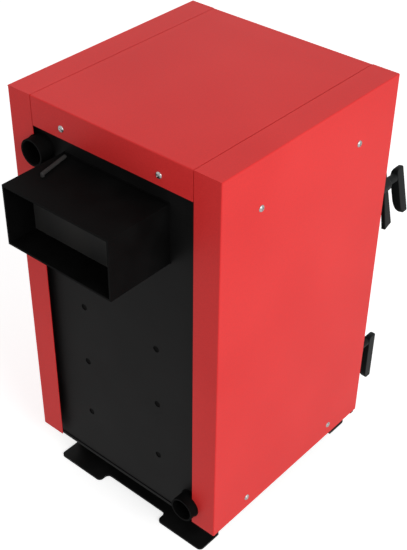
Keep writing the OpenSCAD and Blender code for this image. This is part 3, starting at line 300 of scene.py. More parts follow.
# Yellow-brown and woolly, from its binder.
mineral_wool = spun_fibre("spun_mineral_wool", "#b39a5c", "#d8c489", 4.0)
# Off-white and close-grained.
glass_rope = spun_fibre("braided_glass_rope", "#cfc9bb", "#efebe0", 2.0)
print("fibre finishes:", mineral_wool.name, glass_rope.name)


# %% [markdown]
# The gauge's window is a thin disc of clear glass. It shows the room as a faint reflection
# and lets all the light through, so it is the shader's transmission with almost no roughness.

# %% Gauge glass
def clear_glass():
    haze_mm = 12.0
    finish, tree, place = new_finish("clear_gauge_glass", Transmission_Weight=1.0, IOR=1.45)
    haze = add_node(tree, "ShaderNodeTexNoise", {"Vector": place},
                    {"Scale": 1 / (haze_mm * MM), "Detail": 2.0, "Roughness": 0.5})
    wire_surface(tree, rough=(haze.outputs["Fac"], 0.01, 0.04))
    return finish


# Clear, with a film that softens the mirror image a little.
gauge_glass = clear_glass()
print("glass:", gauge_glass.name)


# %% [markdown]
# Each CAD piece gets its finish by its node name. The materials could be set piece by piece, but
# a table reads like a paint schedule, and the count printed at its end shows a forgotten piece.

# %% Paint schedule
schedule = {
    red_powder_coat: ["side_panel_left", "side_panel_right", "top_panel", "control_panel"],
    black_powder_coat: ["front_cover", "loading_door_cover", "ash_door_cover", "air_flap"],
    jacket_paint: ["outer_jacket", "front_plate", "bottom_plate", "stay_bolts",
                   "loading_door_frame", "ash_door_frame", "loading_door_plate", "ash_door_plate"],
    # The duct and the pipes take the flue paint, whose extra darkness is painted shade.
    flue_paint_darkened_as_shade: ["flue_duct", "supply_pipe", "return_pipe"],
    damper_plate: ["damper"],
    hardware_paint: ["rear_foot_rail", "front_foot_rail", "hinge_brackets", "latch_keepers",
                     "loading_latch_tongue", "ash_latch_tongue"],
    fire_scale: ["firebox_shell", "water_shelf", "grate_ledges", "pan_rails",
                 "loading_door_shield", "ash_door_shield"],
    pan_sheet: ["ash_pan"],
    bright_zinc: ["hinge_pins", "casing_screws", "loading_door_screws", "ash_door_screws",
                  "air_flap_pin", "loading_latch_spindle", "ash_latch_spindle"],
    bracket_zinc: ["top_rails", "panel_standoffs"],
    pocket_brass: ["thermometer_pocket"],
    grate_iron: ["grate_bars"],
    arm_iron: ["loading_latch_arm", "ash_latch_arm"],
    grip_plastic: ["loading_grip", "ash_grip"],
    case_plastic: ["thermometer_case"],
    dial_enamel: ["thermometer_dial"],
    needle_enamel: ["thermometer_needle"],
    gauge_glass: ["thermometer_glass"],
    mineral_board: ["loading_door_block", "ash_door_block"],
    mineral_wool: ["side_wool", "top_wool", "front_cover_wool", "loading_door_wool"],
    glass_rope: ["loading_door_rope", "ash_door_rope"],
}
for finish, node_names in schedule.items():
    for node_name in node_names:
        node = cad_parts[node_name]
        node.data.materials.clear()
        node.data.materials.append(finish)
painted = [name for names in schedule.values() for name in names]
print("painted nodes:", len(painted), "unpainted:", sorted(set(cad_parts) - set(painted)))


# %% [markdown]
# The small forms come next. Each one ends as a plain mesh at the origin, so one helper copies
# the evaluated shape and drops the object that carried its modifiers.

def workshop_object(name, data):
    thing = bpy.data.objects.new(name, data)
    bpy.context.collection.objects.link(thing)
    return thing


def baked_mesh(thing, name):
    reading = bpy.context.evaluated_depsgraph_get()
    reading.update()
    mesh = bpy.data.meshes.new_from_object(thing.evaluated_get(reading), depsgraph=reading)
    mesh.name = name
    bpy.data.objects.remove(thing)
    return mesh


def fit(name, mesh, finish, body, slot, *solids):
    mesh.materials.clear()
    mesh.materials.append(finish)
    for face in mesh.polygons:
        face.material_index = 0
    piece = workshop_object(name, mesh)
    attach(piece, body)
    if solids:
        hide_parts(*solids)
    print(f"{name}: {len(mesh.polygons)} faces on {body}")


def merged_form(node_name, same_corner_mm=0.01):
    form = bmesh.new()
    form.from_mesh(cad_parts[node_name].data)
    bmesh.ops.remove_doubles(form, verts=form.verts, dist=same_corner_mm * MM)
    return form


print("CAD nodes to work from:", len(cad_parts))


# %% [markdown]
# Castings, mouldings and fibre mats have no sharp edge anywhere. A bevel could round the edges,
# but not the inner corners, and it fails where many edges meet. So a voxel remesh turns the
# solid into an even skin, and a few smoothing passes melt every corner as a mould's radii do.
# A mat also gets a lumpy surface, pushed inwards so that it keeps to its room.

# %% Rounded copies of CAD forms
def rounded_copy(node_name, skin_mm, passes, lumps_mm=0.0, lump_size_mm=30.0):
    mesh = bpy.data.meshes.new(node_name + "_skin")
    form = merged_form(node_name)
    form.to_mesh(mesh)
    form.free()
    workpiece = workshop_object(node_name + "_skin", mesh)
    skin = workpiece.modifiers.new("skin", "REMESH")
    skin.mode = "VOXEL"
    skin.voxel_size = skin_mm * MM
    skin.use_smooth_shade = True
    rounding = workpiece.modifiers.new("rounding", "SMOOTH")
    rounding.iterations = passes
    skinned = baked_mesh(workpiece, node_name + "_skin")
    outward = [vert.normal.copy() for vert in skinned.vertices]
    for vert, normal in zip(skinned.vertices, outward if lumps_mm else []):
        push = 0.5 + 0.5 * noise.noise(vert.co / (lump_size_mm * MM))
        vert.co -= normal * push * lumps_mm * MM
    return skinned


for door in ("loading", "ash"):
    fit(door + "_grip_moulding", rounded_copy(door + "_grip", skin_mm=0.7, passes=8),
        grip_plastic, door + "_latch", "handle_plastic", door + "_grip")
    fit(door + "_arm_casting", rounded_copy(door + "_latch_arm", skin_mm=0.8, passes=5),
        arm_iron, door + "_latch", "handle_iron", door + "_latch_arm")


# %% [markdown]
# The mats are made the same way. The thick ones of the casing take a coarse skin and lumps of
# 2 mm. The thin ones behind the cover and in the door need a finer skin to keep their shape.

# %% Mineral wool mats
thick_mat = {"skin_mm": 8.0, "passes": 2, "lumps_mm": 2.0}
thin_mat = {"skin_mm": 3.0, "passes": 2, "lumps_mm": 0.8}
mats = [("side_wool", thick_mat, "boiler"), ("top_wool", thick_mat, "boiler"),
        ("front_cover_wool", thin_mat, "boiler"), ("loading_door_wool", thin_mat, "loading_door")]
for node_name, mat_skin, body in mats:
    fit(node_name + "_mat", rounded_copy(node_name, **mat_skin), mineral_wool, body,
        "mineral_wool", node_name)


# %% [markdown]
# The casing is held by pan-head screws with a cross recess. A screw and a plug weld are both
# round, so one helper turns a profile about an axis, as a lathe does. Its profile lists radius
# and height in millimetres. Spinning leaves doubled points at the seam and the poles, so they are
# merged before the normals are made to face outwards.

# %% Turn a profile
same_point = 0.001 * MM


def turned_mesh(name, profile_mm, steps):
    lathe = bmesh.new()
    outline = [lathe.verts.new((r * MM, 0, z * MM)) for r, z in profile_mm]
    for a, b in zip(outline, outline[1:]):
        lathe.edges.new((a, b))
    bmesh.ops.spin(lathe, geom=lathe.verts[:] + lathe.edges[:], axis=(0, 0, 1), cent=(0, 0, 0),
                   angle=math.tau, steps=steps, use_duplicate=False)
    bmesh.ops.remove_doubles(lathe, verts=lathe.verts, dist=same_point)
    bmesh.ops.recalc_face_normals(lathe, faces=lathe.faces)
    mesh = bpy.data.meshes.new(name)
    lathe.to_mesh(mesh)
    lathe.free()
    print(f"{name}: {len(mesh.polygons)} faces")
    return mesh


head_profile_mm = [(0, 2.6), (1.5, 2.6), (3.2, 2.35), (4.7, 1.7), (5.6, 0.9), (6.0, 0.15),
                   (5.85, 0), (2.4, 0), (2.4, -13.0), (1.6, -15.5), (0, -16.0)]
screw_mesh = turned_mesh("pan_head_screw", head_profile_mm, steps=28)


# %% [markdown]
# The recess is two tapered bars, crossed, that a Boolean cuts from the head. Each bar is a cube
# whose upper corners are set wider than its lower ones, as the driver's tip is.

# %% Cut the cross recess
bar_length_mm = {"low": 3.0, "top": 6.2}
bar_width_mm = {"low": 0.9, "top": 1.3}
bar_height_mm = {"low": 0.7, "top": 3.2}
punch = bmesh.new()
for turn in (0, math.pi / 2):
    for vert in bmesh.ops.create_cube(punch, size=1.0)["verts"]:
        end = "top" if vert.co.z > 0 else "low"
        vert.co = Vector((vert.co.x * bar_length_mm[end] * MM, vert.co.y * bar_width_mm[end] * MM,
                          bar_height_mm[end] * MM))
        vert.co.rotate(Matrix.Rotation(turn, 3, "Z"))
punch_mesh = bpy.data.meshes.new("cross_punch")
punch.to_mesh(punch_mesh)
punch.free()
punch_object = workshop_object("cross_punch", punch_mesh)
blank = workshop_object("screw_blank", screw_mesh)
recess = blank.modifiers.new("recess", "BOOLEAN")
recess.operation = "DIFFERENCE"
recess.solver = "EXACT"
recess.use_self = True
recess.object = punch_object
screw_form = workshop_object("screw_form", baked_mesh(blank, "screw_form"))
bpy.data.objects.remove(punch_object)
print("screw form:", len(screw_form.data.polygons), "faces")


# %% [markdown]
# The places of the screws are read from the CAD solids, so they can't drift from their holes.
# Each loose part of a screw node is one screw. Its long side is its axis, and its widest ring is
# its seat, which also tells on which end the head is.

# %% Read places from loose parts
def loose_parts(node_name):
    form = merged_form(node_name)
    left, parts = set(form.verts), []
    while left:
        part, front = [], [left.pop()]
        while front:
            vert = front.pop()
            part.append(vert.co.copy())
            for edge in vert.link_edges:
                other = edge.other_vert(vert)
                if other in left:
                    left.remove(other)
                    front.append(other)
        parts.append(part)
    form.free()
    return parts


def part_axis(points):
    low = Vector([min(p[i] for p in points) for i in range(3)])
    high = Vector([max(p[i] for p in points) for i in range(3)])
    middle, size = (low + high) / 2, high - low
    return middle, size, max(range(3), key=lambda i: size[i])


def screw_seat(points, rim_share=0.97):
    middle, size, axis = part_axis(points)
    sides = [i for i in range(3) if i != axis]
    rim_radius = rim_share * max(size[i] for i in sides) / 2
    rim = [p[axis] for p in points
           if math.hypot(p[sides[0]] - middle[sides[0]], p[sides[1]] - middle[sides[1]]) > rim_radius]
    facing = Vector((0, 0, 0))
    facing[axis] = 1 if sum(rim) / len(rim) > middle[axis] else -1
    seat = middle.copy()
    seat[axis] = min(rim) if facing[axis] > 0 else max(rim)
    return seat, facing


def marked_points(name, places):
    mesh = bpy.data.meshes.new(name)
    mesh.from_pydata([place for place, _ in places], [], [])
    facing = mesh.attributes.new("facing", "FLOAT_VECTOR", "POINT")
    for item, (_, direction) in zip(facing.data, places):
        item.vector = direction
    return workshop_object(name, mesh)


screw_bodies = {"casing_screws": "boiler", "loading_door_screws": "loading_door",
                "ash_door_screws": "ash_door"}
screw_seats = {}
for node_name in screw_bodies:
    seats = [screw_seat(part) for part in loose_parts(node_name)]
    screw_seats[node_name] = sorted(seats, key=lambda seat: seat[0][:])
    print(node_name, "places:", len(seats))


# %% [markdown]
# A node tree needs its inputs and outputs before its nodes. One helper makes an empty tree with
# named inputs, a second closes it, and a third puts it on an object. Every tree ends in Realize
# Instances, because an export keeps only real mesh, and in Set Material.

# %% Geometry Nodes helpers
def new_tree(name, inputs):
    tree = bpy.data.node_groups.new(name, "GeometryNodeTree")
    tree.interface.new_socket("Geometry", in_out="INPUT", socket_type="NodeSocketGeometry")
    for label, kind in inputs.items():
        tree.interface.new_socket(label, in_out="INPUT", socket_type="NodeSocket" + kind)
    tree.interface.new_socket("Geometry", in_out="OUTPUT", socket_type="NodeSocketGeometry")
    return tree, tree.nodes.new("NodeGroupInput").outputs


def close_tree(tree, geometry, finish):
    solid = add_node(tree, "GeometryNodeRealizeInstances", {"Geometry": geometry})
    dressed = add_node(tree, "GeometryNodeSetMaterial", {"Geometry": solid.outputs["Geometry"]},
                       {"Material": finish})
    add_node(tree, "NodeGroupOutput", {"Geometry": dressed.outputs["Geometry"]})
    print(f"{tree.name}: {len(tree.nodes)} nodes")


def grown_mesh(carrier, tree, values, name):
    growth = carrier.modifiers.new("growth", "NODES")
    growth.node_group = tree
    for item in tree.interface.items_tree:
        if item.item_type == "SOCKET" and item.in_out == "INPUT" and item.name in values:
            growth[item.identifier] = values[item.name]
    return baked_mesh(carrier, name)


# %% [markdown]
# A screw stands on each point, aimed along the point's own direction. Without that, all of them
# would look up. Each is then turned about its own axis by an angle drawn from the seed, because
# no fitter lines up the recesses. A fixed seed gives the same picture at every run.

# %% Grow the screws
screw_tree, given = new_tree("screws_on_points", {"Screw": "Object", "Scale": "Float", "Seed": "Int"})
screw = add_node(screw_tree, "GeometryNodeObjectInfo", {"Object": given["Screw"]})
direction = add_node(screw_tree, "GeometryNodeInputNamedAttribute", values={"Name": "facing"},
                     data_type="FLOAT_VECTOR")
aimed = add_node(screw_tree, "FunctionNodeAlignRotationToVector",
                 {"Vector": direction.outputs["Attribute"]}, axis="Z")
drawn_turn = add_node(screw_tree, "FunctionNodeRandomValue", {"Seed": given["Seed"]}, {3: math.tau},
                      data_type="FLOAT")
about_axis = add_node(screw_tree, "FunctionNodeAxisAngleToRotation",
                      {"Angle": drawn_turn.outputs[1]}, {"Axis": (0, 0, 1)})
turned_screw = add_node(screw_tree, "FunctionNodeRotateRotation",
                        {"Rotation": aimed.outputs["Rotation"],
                         "Rotate By": about_axis.outputs["Rotation"]}, rotation_space="LOCAL")
placed = add_node(screw_tree, "GeometryNodeInstanceOnPoints",
                  {"Points": given["Geometry"], "Instance": screw.outputs["Geometry"],
                   "Rotation": turned_screw.outputs["Rotation"], "Scale": given["Scale"]})
close_tree(screw_tree, placed.outputs["Instances"], bright_zinc)

first_screw_seed = 3
for number, (node_name, body) in enumerate(screw_bodies.items()):
    carrier = marked_points(node_name + "_points", screw_seats[node_name])
    heads = grown_mesh(carrier, screw_tree, {"Screw": screw_form, "Scale": 1.0,
                                             "Seed": first_screw_seed + number}, node_name + "_cut")
    fit(node_name + "_cut", heads, bright_zinc, body, "zinc_steel", node_name)
bpy.data.objects.remove(screw_form)


# %% [markdown]
# The doors seal on square braided glass rope, pressed into a channel. Twisting round strands
# would give a laid rope, which is round. In a braid each strand swings from side to side once
# while it moves in and out twice, so its place in the section is a figure of eight. The tree
# copies the rope's middle line once for each strand, shifts each copy along that figure with its
# own start, and sweeps a small circle along it.

# %% Braid tree
rope_tree, given = new_tree("braided_rope", {"Strands": "Int", "Half width": "Float",
                                             "Half depth": "Float", "Pitch": "Float",
                                             "Strand radius": "Float", "Step": "Float"})
dotted = add_node(rope_tree, "GeometryNodeResampleCurve",
                  {"Curve": given["Geometry"], "Length": given["Step"]}, mode="LENGTH")
copies = add_node(rope_tree, "GeometryNodeDuplicateElements",
                  {"Geometry": dotted.outputs["Curve"], "Amount": given["Strands"]}, domain="SPLINE")
along = add_node(rope_tree, "GeometryNodeSplineParameter")
turns = add_node(rope_tree, "ShaderNodeMath", {0: along.outputs["Length"], 1: given["Pitch"]},
                 operation="DIVIDE")
start = add_node(rope_tree, "ShaderNodeMath", {0: copies.outputs["Duplicate Index"],
                                               1: given["Strands"]}, operation="DIVIDE")
phase = add_node(rope_tree, "ShaderNodeMath", {0: turns.outputs[0], 1: start.outputs[0]},
                 operation="ADD")
angle = add_node(rope_tree, "ShaderNodeMath", {0: phase.outputs[0]}, {1: math.tau},
                 operation="MULTIPLY")
double = add_node(rope_tree, "ShaderNodeMath", {0: angle.outputs[0]}, {1: 2.0}, operation="MULTIPLY")
swing = add_node(rope_tree, "ShaderNodeMath", {0: angle.outputs[0]}, operation="SINE")
dip = add_node(rope_tree, "ShaderNodeMath", {0: double.outputs[0]}, operation="SINE")
wide = add_node(rope_tree, "ShaderNodeMath", {0: swing.outputs[0], 1: given["Half width"]},
                operation="MULTIPLY")
deep = add_node(rope_tree, "ShaderNodeMath", {0: dip.outputs[0], 1: given["Half depth"]},
                operation="MULTIPLY")
tangent = add_node(rope_tree, "GeometryNodeInputTangent")
side = add_node(rope_tree, "ShaderNodeVectorMath", {0: tangent.outputs[0]}, {1: (0, 1, 0)},
                operation="CROSS_PRODUCT")
sideways = add_node(rope_tree, "ShaderNodeVectorMath",
                    {0: side.outputs[0], "Scale": wide.outputs[0]}, operation="SCALE")
outwards = add_node(rope_tree, "ShaderNodeCombineXYZ", {"Y": deep.outputs[0]})
shift = add_node(rope_tree, "ShaderNodeVectorMath", {0: sideways.outputs[0], 1: outwards.outputs[0]},
                 operation="ADD")
braid = add_node(rope_tree, "GeometryNodeSetPosition",
                 {"Geometry": copies.outputs["Geometry"], "Offset": shift.outputs[0]})
thread = add_node(rope_tree, "GeometryNodeCurvePrimitiveCircle", {"Radius": given["Strand radius"]},
                  {"Resolution": 6})
rope_skin = add_node(rope_tree, "GeometryNodeCurveToMesh",
                     {"Curve": braid.outputs["Geometry"], "Profile Curve": thread.outputs["Curve"]})
close_tree(rope_tree, rope_skin.outputs["Mesh"], glass_rope)


# %% [markdown]
# The rope's middle line runs round the door with rounded corners, because a rope of this width
# can't be bent sharply. Its box comes from the CAD rope. The pitch is stretched a little, so a
# whole number of turns closes the ring without a jump.

# %% Lay the door ropes
def joint_line(curve, points, closed):
    line = curve.splines.new("POLY")
    line.points.add(len(points) - 1)
    for point, place in zip(line.points, points):
        point.co = (*place, 1)
    line.use_cyclic_u = closed


def solid_curve(name):
    curve = bpy.data.curves.new(name, "CURVE")
    curve.dimensions = "3D"
    return curve


def round_cornered_path(low, high, radius, corner_steps=6):
    corners = [(high.x, high.z, 0), (low.x, high.z, 1), (low.x, low.z, 2), (high.x, low.z, 3)]
    points = []
    for x, z, quarter in corners:
        centre_x = x - math.copysign(radius, x - (low.x + high.x) / 2)
        centre_z = z - math.copysign(radius, z - (low.z + high.z) / 2)
        for step in range(corner_steps + 1):
            turn = (quarter + step / corner_steps) * math.pi / 2
            points.append((centre_x + radius * math.cos(turn), (low.y + high.y) / 2,
                           centre_z + radius * math.sin(turn)))
    length = sum((Vector(a) - Vector(b)).length for a, b in zip(points, points[1:] + points[:1]))
    return points, length


strand_count, strand_radius_mm, braid_pitch_mm, sample_step_mm = 8, 1.7, 22, 1.8
rope_width_mm, corner_radius_mm = 12.0, 5
for door in ("loading", "ash"):
    low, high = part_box(door + "_door_rope")
    inset = Vector((rope_width_mm / 2 * MM, 0, rope_width_mm / 2 * MM))
    middle_line, length = round_cornered_path(low + inset, high - inset, corner_radius_mm * MM)
    path = solid_curve(door + "_rope_path")
    joint_line(path, middle_line, closed=True)
    strands = {"Strands": strand_count, "Half width": (rope_width_mm / 2 - strand_radius_mm) * MM,
               "Half depth": (high.y - low.y) / 2 - strand_radius_mm * MM,
               "Pitch": length / round(length / (braid_pitch_mm * MM)),
               "Strand radius": strand_radius_mm * MM, "Step": sample_step_mm * MM}
    braided = grown_mesh(workshop_object(door + "_rope_path", path), rope_tree, strands,
                         door + "_door_braid")
    fit(door + "_door_braid", braided, glass_rope, door + "_door", "sealing_rope",
        door + "_door_rope")


# %% [markdown]
# The water pipes, the flue duct and the foot rails are welded on. A hand-laid bead is a row of
# overlapping ripples. A plain tube would be quicker, but it looks like putty, so the tree sets a
# small flattened ball along each joint at the pitch of the ripples.

# %% Bead tree
ripple_flatness = 0.8
bead_tree, given = new_tree("weld_bead", {"Bead radius": "Float", "Ripple pitch": "Float"})
stepped = add_node(bead_tree, "GeometryNodeResampleCurve",
                   {"Curve": given["Geometry"], "Length": given["Ripple pitch"]}, mode="LENGTH")
heading = add_node(bead_tree, "GeometryNodeInputTangent")
ripple_turn = add_node(bead_tree, "FunctionNodeAlignRotationToVector",
                       {"Vector": heading.outputs[0]}, axis="Z")
ripple = add_node(bead_tree, "GeometryNodeMeshUVSphere", {"Radius": given["Bead radius"]},
                  {"Segments": 10, "Rings": 6})
row = add_node(bead_tree, "GeometryNodeInstanceOnPoints",
               {"Points": stepped.outputs["Curve"], "Instance": ripple.outputs["Mesh"],
                "Rotation": ripple_turn.outputs["Rotation"]}, {"Scale": (1.0, 1.0, ripple_flatness)})
# The beads take the flue paint, whose extra darkness is painted shade.
close_tree(bead_tree, row.outputs["Instances"], flue_paint_darkened_as_shade)


# %% [markdown]
# The joints are read from the boxes of the pieces that meet there: a ring round each pipe, a
# rectangle round the duct, and a straight line along the top of each foot rail's web. The last
# is the seam over the bottom plate, which the photo shows as a thin dark line on the rear plate.

# %% Lay the weld beads
bead_radius_mm, ripple_pitch_mm, ring_points = 1.5, 1.7, 40
seam_height_mm = 8.5
weld_lines = solid_curve("weld_lines")
jacket_low, jacket_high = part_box("outer_jacket")
plate_y = jacket_high.y
for pipe in ("supply_pipe", "return_pipe"):
    low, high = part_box(pipe)
    middle, radius = (low + high) / 2, (high.x - low.x) / 2
    around = [math.tau * i / ring_points for i in range(ring_points)]
    joint_line(weld_lines, [(middle.x + radius * math.cos(turn), plate_y,
                             middle.z + radius * math.sin(turn)) for turn in around], closed=True)
low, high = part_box("flue_duct")
joint_line(weld_lines, [(low.x, plate_y, low.z), (high.x, plate_y, low.z), (high.x, plate_y, high.z),
                        (low.x, plate_y, high.z)], closed=True)
for rail in ("rear_foot_rail", "front_foot_rail"):
    low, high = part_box(rail)
    web_y = low.y if rail == "rear_foot_rail" else high.y
    joint_line(weld_lines, [(jacket_low.x, web_y, high.z), (jacket_high.x, web_y, high.z)],
               closed=False)
seam_z = jacket_low.z + seam_height_mm * MM
joint_line(weld_lines, [(jacket_low.x, plate_y, seam_z), (jacket_high.x, plate_y, seam_z)],
           closed=False)
beads = grown_mesh(workshop_object("weld_lines", weld_lines), bead_tree,
                   {"Bead radius": bead_radius_mm * MM, "Ripple pitch": ripple_pitch_mm * MM},
                   "weld_beads")
fit("weld_beads", beads, flue_paint_darkened_as_shade, "boiler", "black_paint")


# %% [markdown]
# Each stay ends in a plug weld, a spiral of metal that sinks a little below the plate and keeps
# its black scale. It reads as a dark spot from the shade in its hollow and from the darker flue
# paint, whose extra darkness is painted shade. A flat black disc would do from afar. Seen close,
# it needs rings, so it is a shallow turned dish, copied to each stay by the tree that already
# places the screws.

# %% Plug welds on the stays
plug_profile_mm = [(0, -1.2), (1.4, -1.0), (2.4, -1.4), (3.6, -1.1), (4.8, -1.4), (5.8, -1.1),
                   (6.5, -0.4), (6.5, -1.5), (0, -1.5)]
plug_seed = 11
plug_form = workshop_object("plug_weld", turned_mesh("plug_weld", plug_profile_mm, steps=24))
for face in plug_form.data.polygons:
    face.use_smooth = True
stay_ends = []
for part in loose_parts("stay_bolts"):
    middle, _, axis = part_axis(part)
    facing = Vector((0, 0, 0))
    facing[axis] = math.copysign(1, middle[axis])
    end = middle.copy()
    end[axis] = jacket_high[axis] if middle[axis] > 0 else jacket_low[axis]
    stay_ends.append((end, facing))
stay_ends.sort(key=lambda place: place[0][:])
plugs = grown_mesh(marked_points("stay_ends", stay_ends), screw_tree,
                   {"Screw": plug_form, "Scale": 1.0, "Seed": plug_seed}, "plug_welds")
fit("plug_welds", plugs, flue_paint_darkened_as_shade, "boiler", "black_paint")
bpy.data.objects.remove(plug_form)


# %% [markdown]
# The gauge reads water temperature. Its dial has a tick every 10 degrees over three quarters of
# a turn, longer at every 40. Print could be a painted pattern, but thin bars stay sharp at any
# distance. They stand a tenth of a millimetre proud, so they don't flicker into the enamel.

# %% Dial ticks
dial_low, dial_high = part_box("thermometer_dial")
dial_centre, dial_radius = (dial_low + dial_high) / 2, (dial_high.x - dial_low.x) / 2
dial_start, dial_sweep, dial_top = math.radians(225), math.radians(270), 120
tick_every, number_every = 10, 40
tick_margin_mm, tick_thickness_mm = 1.5, 0.2
long_tick_mm, short_tick_mm = (5.0, 0.9), (3.0, 0.5)
markings = bmesh.new()
for reading in range(0, dial_top + 1, tick_every):
    tick_length_mm, tick_width_mm = short_tick_mm if reading % number_every else long_tick_mm
    turn = dial_start - dial_sweep * reading / dial_top
    length = tick_length_mm * MM
    for vert in bmesh.ops.create_cube(markings, size=1.0)["verts"]:
        local = Vector((vert.co.x * length, vert.co.y * tick_thickness_mm * MM,
                        vert.co.z * tick_width_mm * MM))
        local.x += dial_radius - tick_margin_mm * MM - length / 2
        vert.co = Matrix.Rotation(-turn, 3, "Y") @ local + Vector((dial_centre.x, dial_low.y,
                                                                   dial_centre.z))
tick_mesh = bpy.data.meshes.new("dial_ticks")
markings.to_mesh(tick_mesh)
markings.free()
fit("dial_ticks", tick_mesh, dial_ink, "boiler", "gauge_case")


# %% [markdown]
# The numbers are Blender text, extruded by the same tenth of a millimetre. Text is laid out
# flat, so it is made a mesh first, freed of faces without an area, and then stood up and moved
# to its place on the dial.

# %% Dial numbers
number_height_mm, number_inset_mm, number_depth_mm = 5.5, 10.5, 0.1
number_reach = dial_radius - number_inset_mm * MM
for reading in range(0, dial_top + 1, number_every):
    turn = dial_start - dial_sweep * reading / dial_top
    number = bpy.data.curves.new(f"dial_{reading}", "FONT")
    number.body = str(reading)
    number.size = number_height_mm * MM
    number.extrude = number_depth_mm * MM
    number.align_x = "CENTER"
    number.align_y = "CENTER"
    figures = baked_mesh(workshop_object(f"dial_{reading}", number), f"dial_{reading}")
    clean = bmesh.new()
    clean.from_mesh(figures)
    bmesh.ops.remove_doubles(clean, verts=clean.verts, dist=same_point)
    bmesh.ops.dissolve_degenerate(clean, edges=clean.edges, dist=same_point)
    clean.to_mesh(figures)
    clean.free()
    figures.transform(Matrix.Translation((dial_centre.x + number_reach * math.cos(turn), dial_low.y,
                                          dial_centre.z + number_reach * math.sin(turn)))
                      @ Matrix.Rotation(math.pi / 2, 4, "X"))
    fit(f"dial_number_{reading}", figures, dial_ink, "boiler", "gauge_case")


# %% [markdown]
# The camera stands where the photographer stood. Its place, direction and focal length were
# worked out from the casing's corners in the photograph, and are written here as shares of the
# casing's height and as angles. The picture's middle isn't on the lens axis, so the lens is
# shifted a little.

# %% Camera at the photograph's view
photo_width, photo_height = 407, 550
focal_pixels = 1096.7
lens_axis_x, lens_axis_y = 184.85, 318.99
camera_turn, camera_height_angle = math.radians(221.54), math.radians(38.85)
camera_shares = Vector((-1.4027, 1.6494, 2.0795))
casing_centre_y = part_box("top_panel")[0].y / 2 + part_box("top_panel")[1].y / 2
casing_floor_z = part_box("side_panel_left")[0].z
casing_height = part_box("side_panel_left")[1].z - casing_floor_z

camera = bpy.data.objects.new("photo_camera", bpy.data.cameras.new("photo_camera"))
bpy.context.collection.objects.link(camera)
camera.location = camera_shares * casing_height + Vector((0, casing_centre_y, casing_floor_z))
towards_camera = Vector((math.sin(camera_turn) * math.cos(camera_height_angle),
                         -math.cos(camera_turn) * math.cos(camera_height_angle),
                         math.sin(camera_height_angle)))
camera.rotation_mode = "QUATERNION"
camera.rotation_quaternion = (-towards_camera).to_track_quat("-Z", "Y")
camera.data.sensor_width = 36
camera.data.lens = focal_pixels * camera.data.sensor_width / photo_height
camera.data.shift_x = (photo_width / 2 - lens_axis_x) / photo_height
camera.data.shift_y = (lens_axis_y - photo_height / 2) / photo_height
bpy.context.scene.camera = camera
print("camera at", [round(v, 3) for v in camera.location])


# %% [markdown]
# The light is one wide soft box, about four metres from the casing, on its left and a little
# behind it. So that side is the brightest, the top comes next and the rear is the darkest, as in
# the photograph. A small lamp would give hard shadows, and the photograph shows none.

# %% Soft box
soft_box_watts, soft_box_width = 99, 2.4
soft_box_place = Vector((-3.6, 0.75, 2.5))
casing_middle = Vector((0, casing_centre_y, casing_floor_z + casing_height / 2))
soft_box = bpy.data.objects.new("soft_box", bpy.data.lights.new("soft_box", "AREA"))
bpy.context.collection.objects.link(soft_box)
soft_box.data.energy = soft_box_watts
soft_box.data.size = soft_box_width
soft_box.location = soft_box_place
soft_box.rotation_mode = "QUATERNION"
soft_box.rotation_quaternion = (casing_middle - soft_box_place).to_track_quat("-Z", "Y")
print("soft box is", round((casing_middle - soft_box_place).length, 2), "m away")


# %% [markdown]
# The room is an even world. A world as strong as its white background would wash out the shade
# on the rear, so the object is lit by a weaker one. White is shown only to rays that come
# straight from the camera, off a gloss or through the glass, and Light Path tells which they are.

# %% Even white room
def direct_rays(tree):
    path = add_node(tree, "ShaderNodeLightPath")
    mirrored = add_node(tree, "ShaderNodeMath", {0: path.outputs["Is Camera Ray"],
                                                 1: path.outputs["Is Glossy Ray"]},
                        operation="MAXIMUM")
    direct = add_node(tree, "ShaderNodeMath", {0: mirrored.outputs[0],
                                               1: path.outputs["Is Transmission Ray"]},
                      operation="MAXIMUM")
    return path.outputs["Is Camera Ray"], direct.outputs[0]


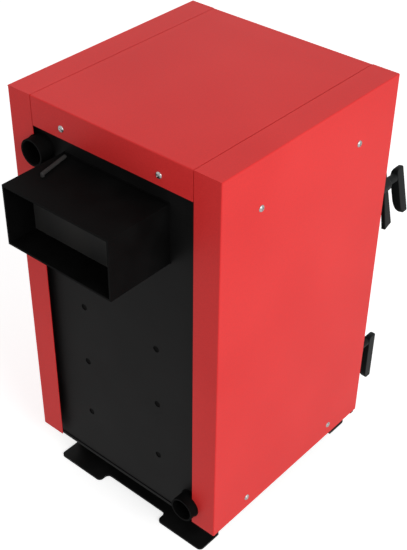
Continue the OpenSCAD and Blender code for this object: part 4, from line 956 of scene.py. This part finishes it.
white = linear("#ffffff")
room_light, room_white = 0.47, 1.0
world = bpy.context.scene.world or bpy.data.worlds.new("even_room")
bpy.context.scene.world = world
world.use_nodes = True
room = world.node_tree
room.nodes.clear()
_, direct_ray = direct_rays(room)
fill = add_node(room, "ShaderNodeBackground", values={"Color": white, "Strength": room_light})
shown = add_node(room, "ShaderNodeBackground", values={"Color": white, "Strength": room_white})
both = add_node(room, "ShaderNodeMixShader", {0: direct_ray, 1: fill.outputs[0], 2: shown.outputs[0]})
add_node(room, "ShaderNodeOutputWorld", {"Surface": both.outputs[0]})
print("room light:", room_light, "shown as:", room_white)


# %% [markdown]
# The floor is pale paper. It has to light the object as grey paper does and still be seen as
# white, with the object's shadow on it. So its own matt shade stays everywhere, and a glow is
# added for direct rays alone. Gloss and glass get less of it, or the floor would look brighter
# than white in them.

# %% Pale floor
def pale_floor(paper_hex, camera_glow, mirrored_glow):
    paper = bpy.data.materials.new("pale_floor_paper")
    paper.use_nodes = True
    tree = paper.node_tree
    tree.nodes.clear()
    camera_ray, direct_ray = direct_rays(tree)
    matt = add_node(tree, "ShaderNodeBsdfDiffuse", values={"Color": linear(paper_hex)})
    strength = add_node(tree, "ShaderNodeMath", {0: camera_ray},
                        {1: camera_glow - mirrored_glow, 2: mirrored_glow}, operation="MULTIPLY_ADD")
    glow = add_node(tree, "ShaderNodeEmission", {"Strength": strength.outputs[0]}, {"Color": white})
    lifted = add_node(tree, "ShaderNodeAddShader", {0: matt.outputs[0], 1: glow.outputs[0]})
    mixed = add_node(tree, "ShaderNodeMixShader", {0: direct_ray, 1: matt.outputs[0],
                                                   2: lifted.outputs[0]})
    add_node(tree, "ShaderNodeOutputMaterial", {"Surface": mixed.outputs[0]})
    return paper


floor_reach = 20.0
floor_mesh = bpy.data.meshes.new("studio_floor")
floor_corners = [(x * floor_reach, y * floor_reach, 0) for x, y in ((-1, -1), (1, -1), (1, 1), (-1, 1))]
floor_mesh.from_pydata(floor_corners, [], [(0, 1, 2, 3)])
floor_mesh.materials.append(pale_floor("#dfdfdf", camera_glow=0.66, mirrored_glow=0.4))
studio_floor = workshop_object("studio_floor", floor_mesh)
studio_floor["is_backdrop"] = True
bpy.context.scene.view_settings.view_transform = "Standard"
print("floor:", 2 * floor_reach, "m wide")


# %% Sizes and finish
low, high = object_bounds()
print("visual box in mm:", [round(v / MM, 1) for v in (high - low)])
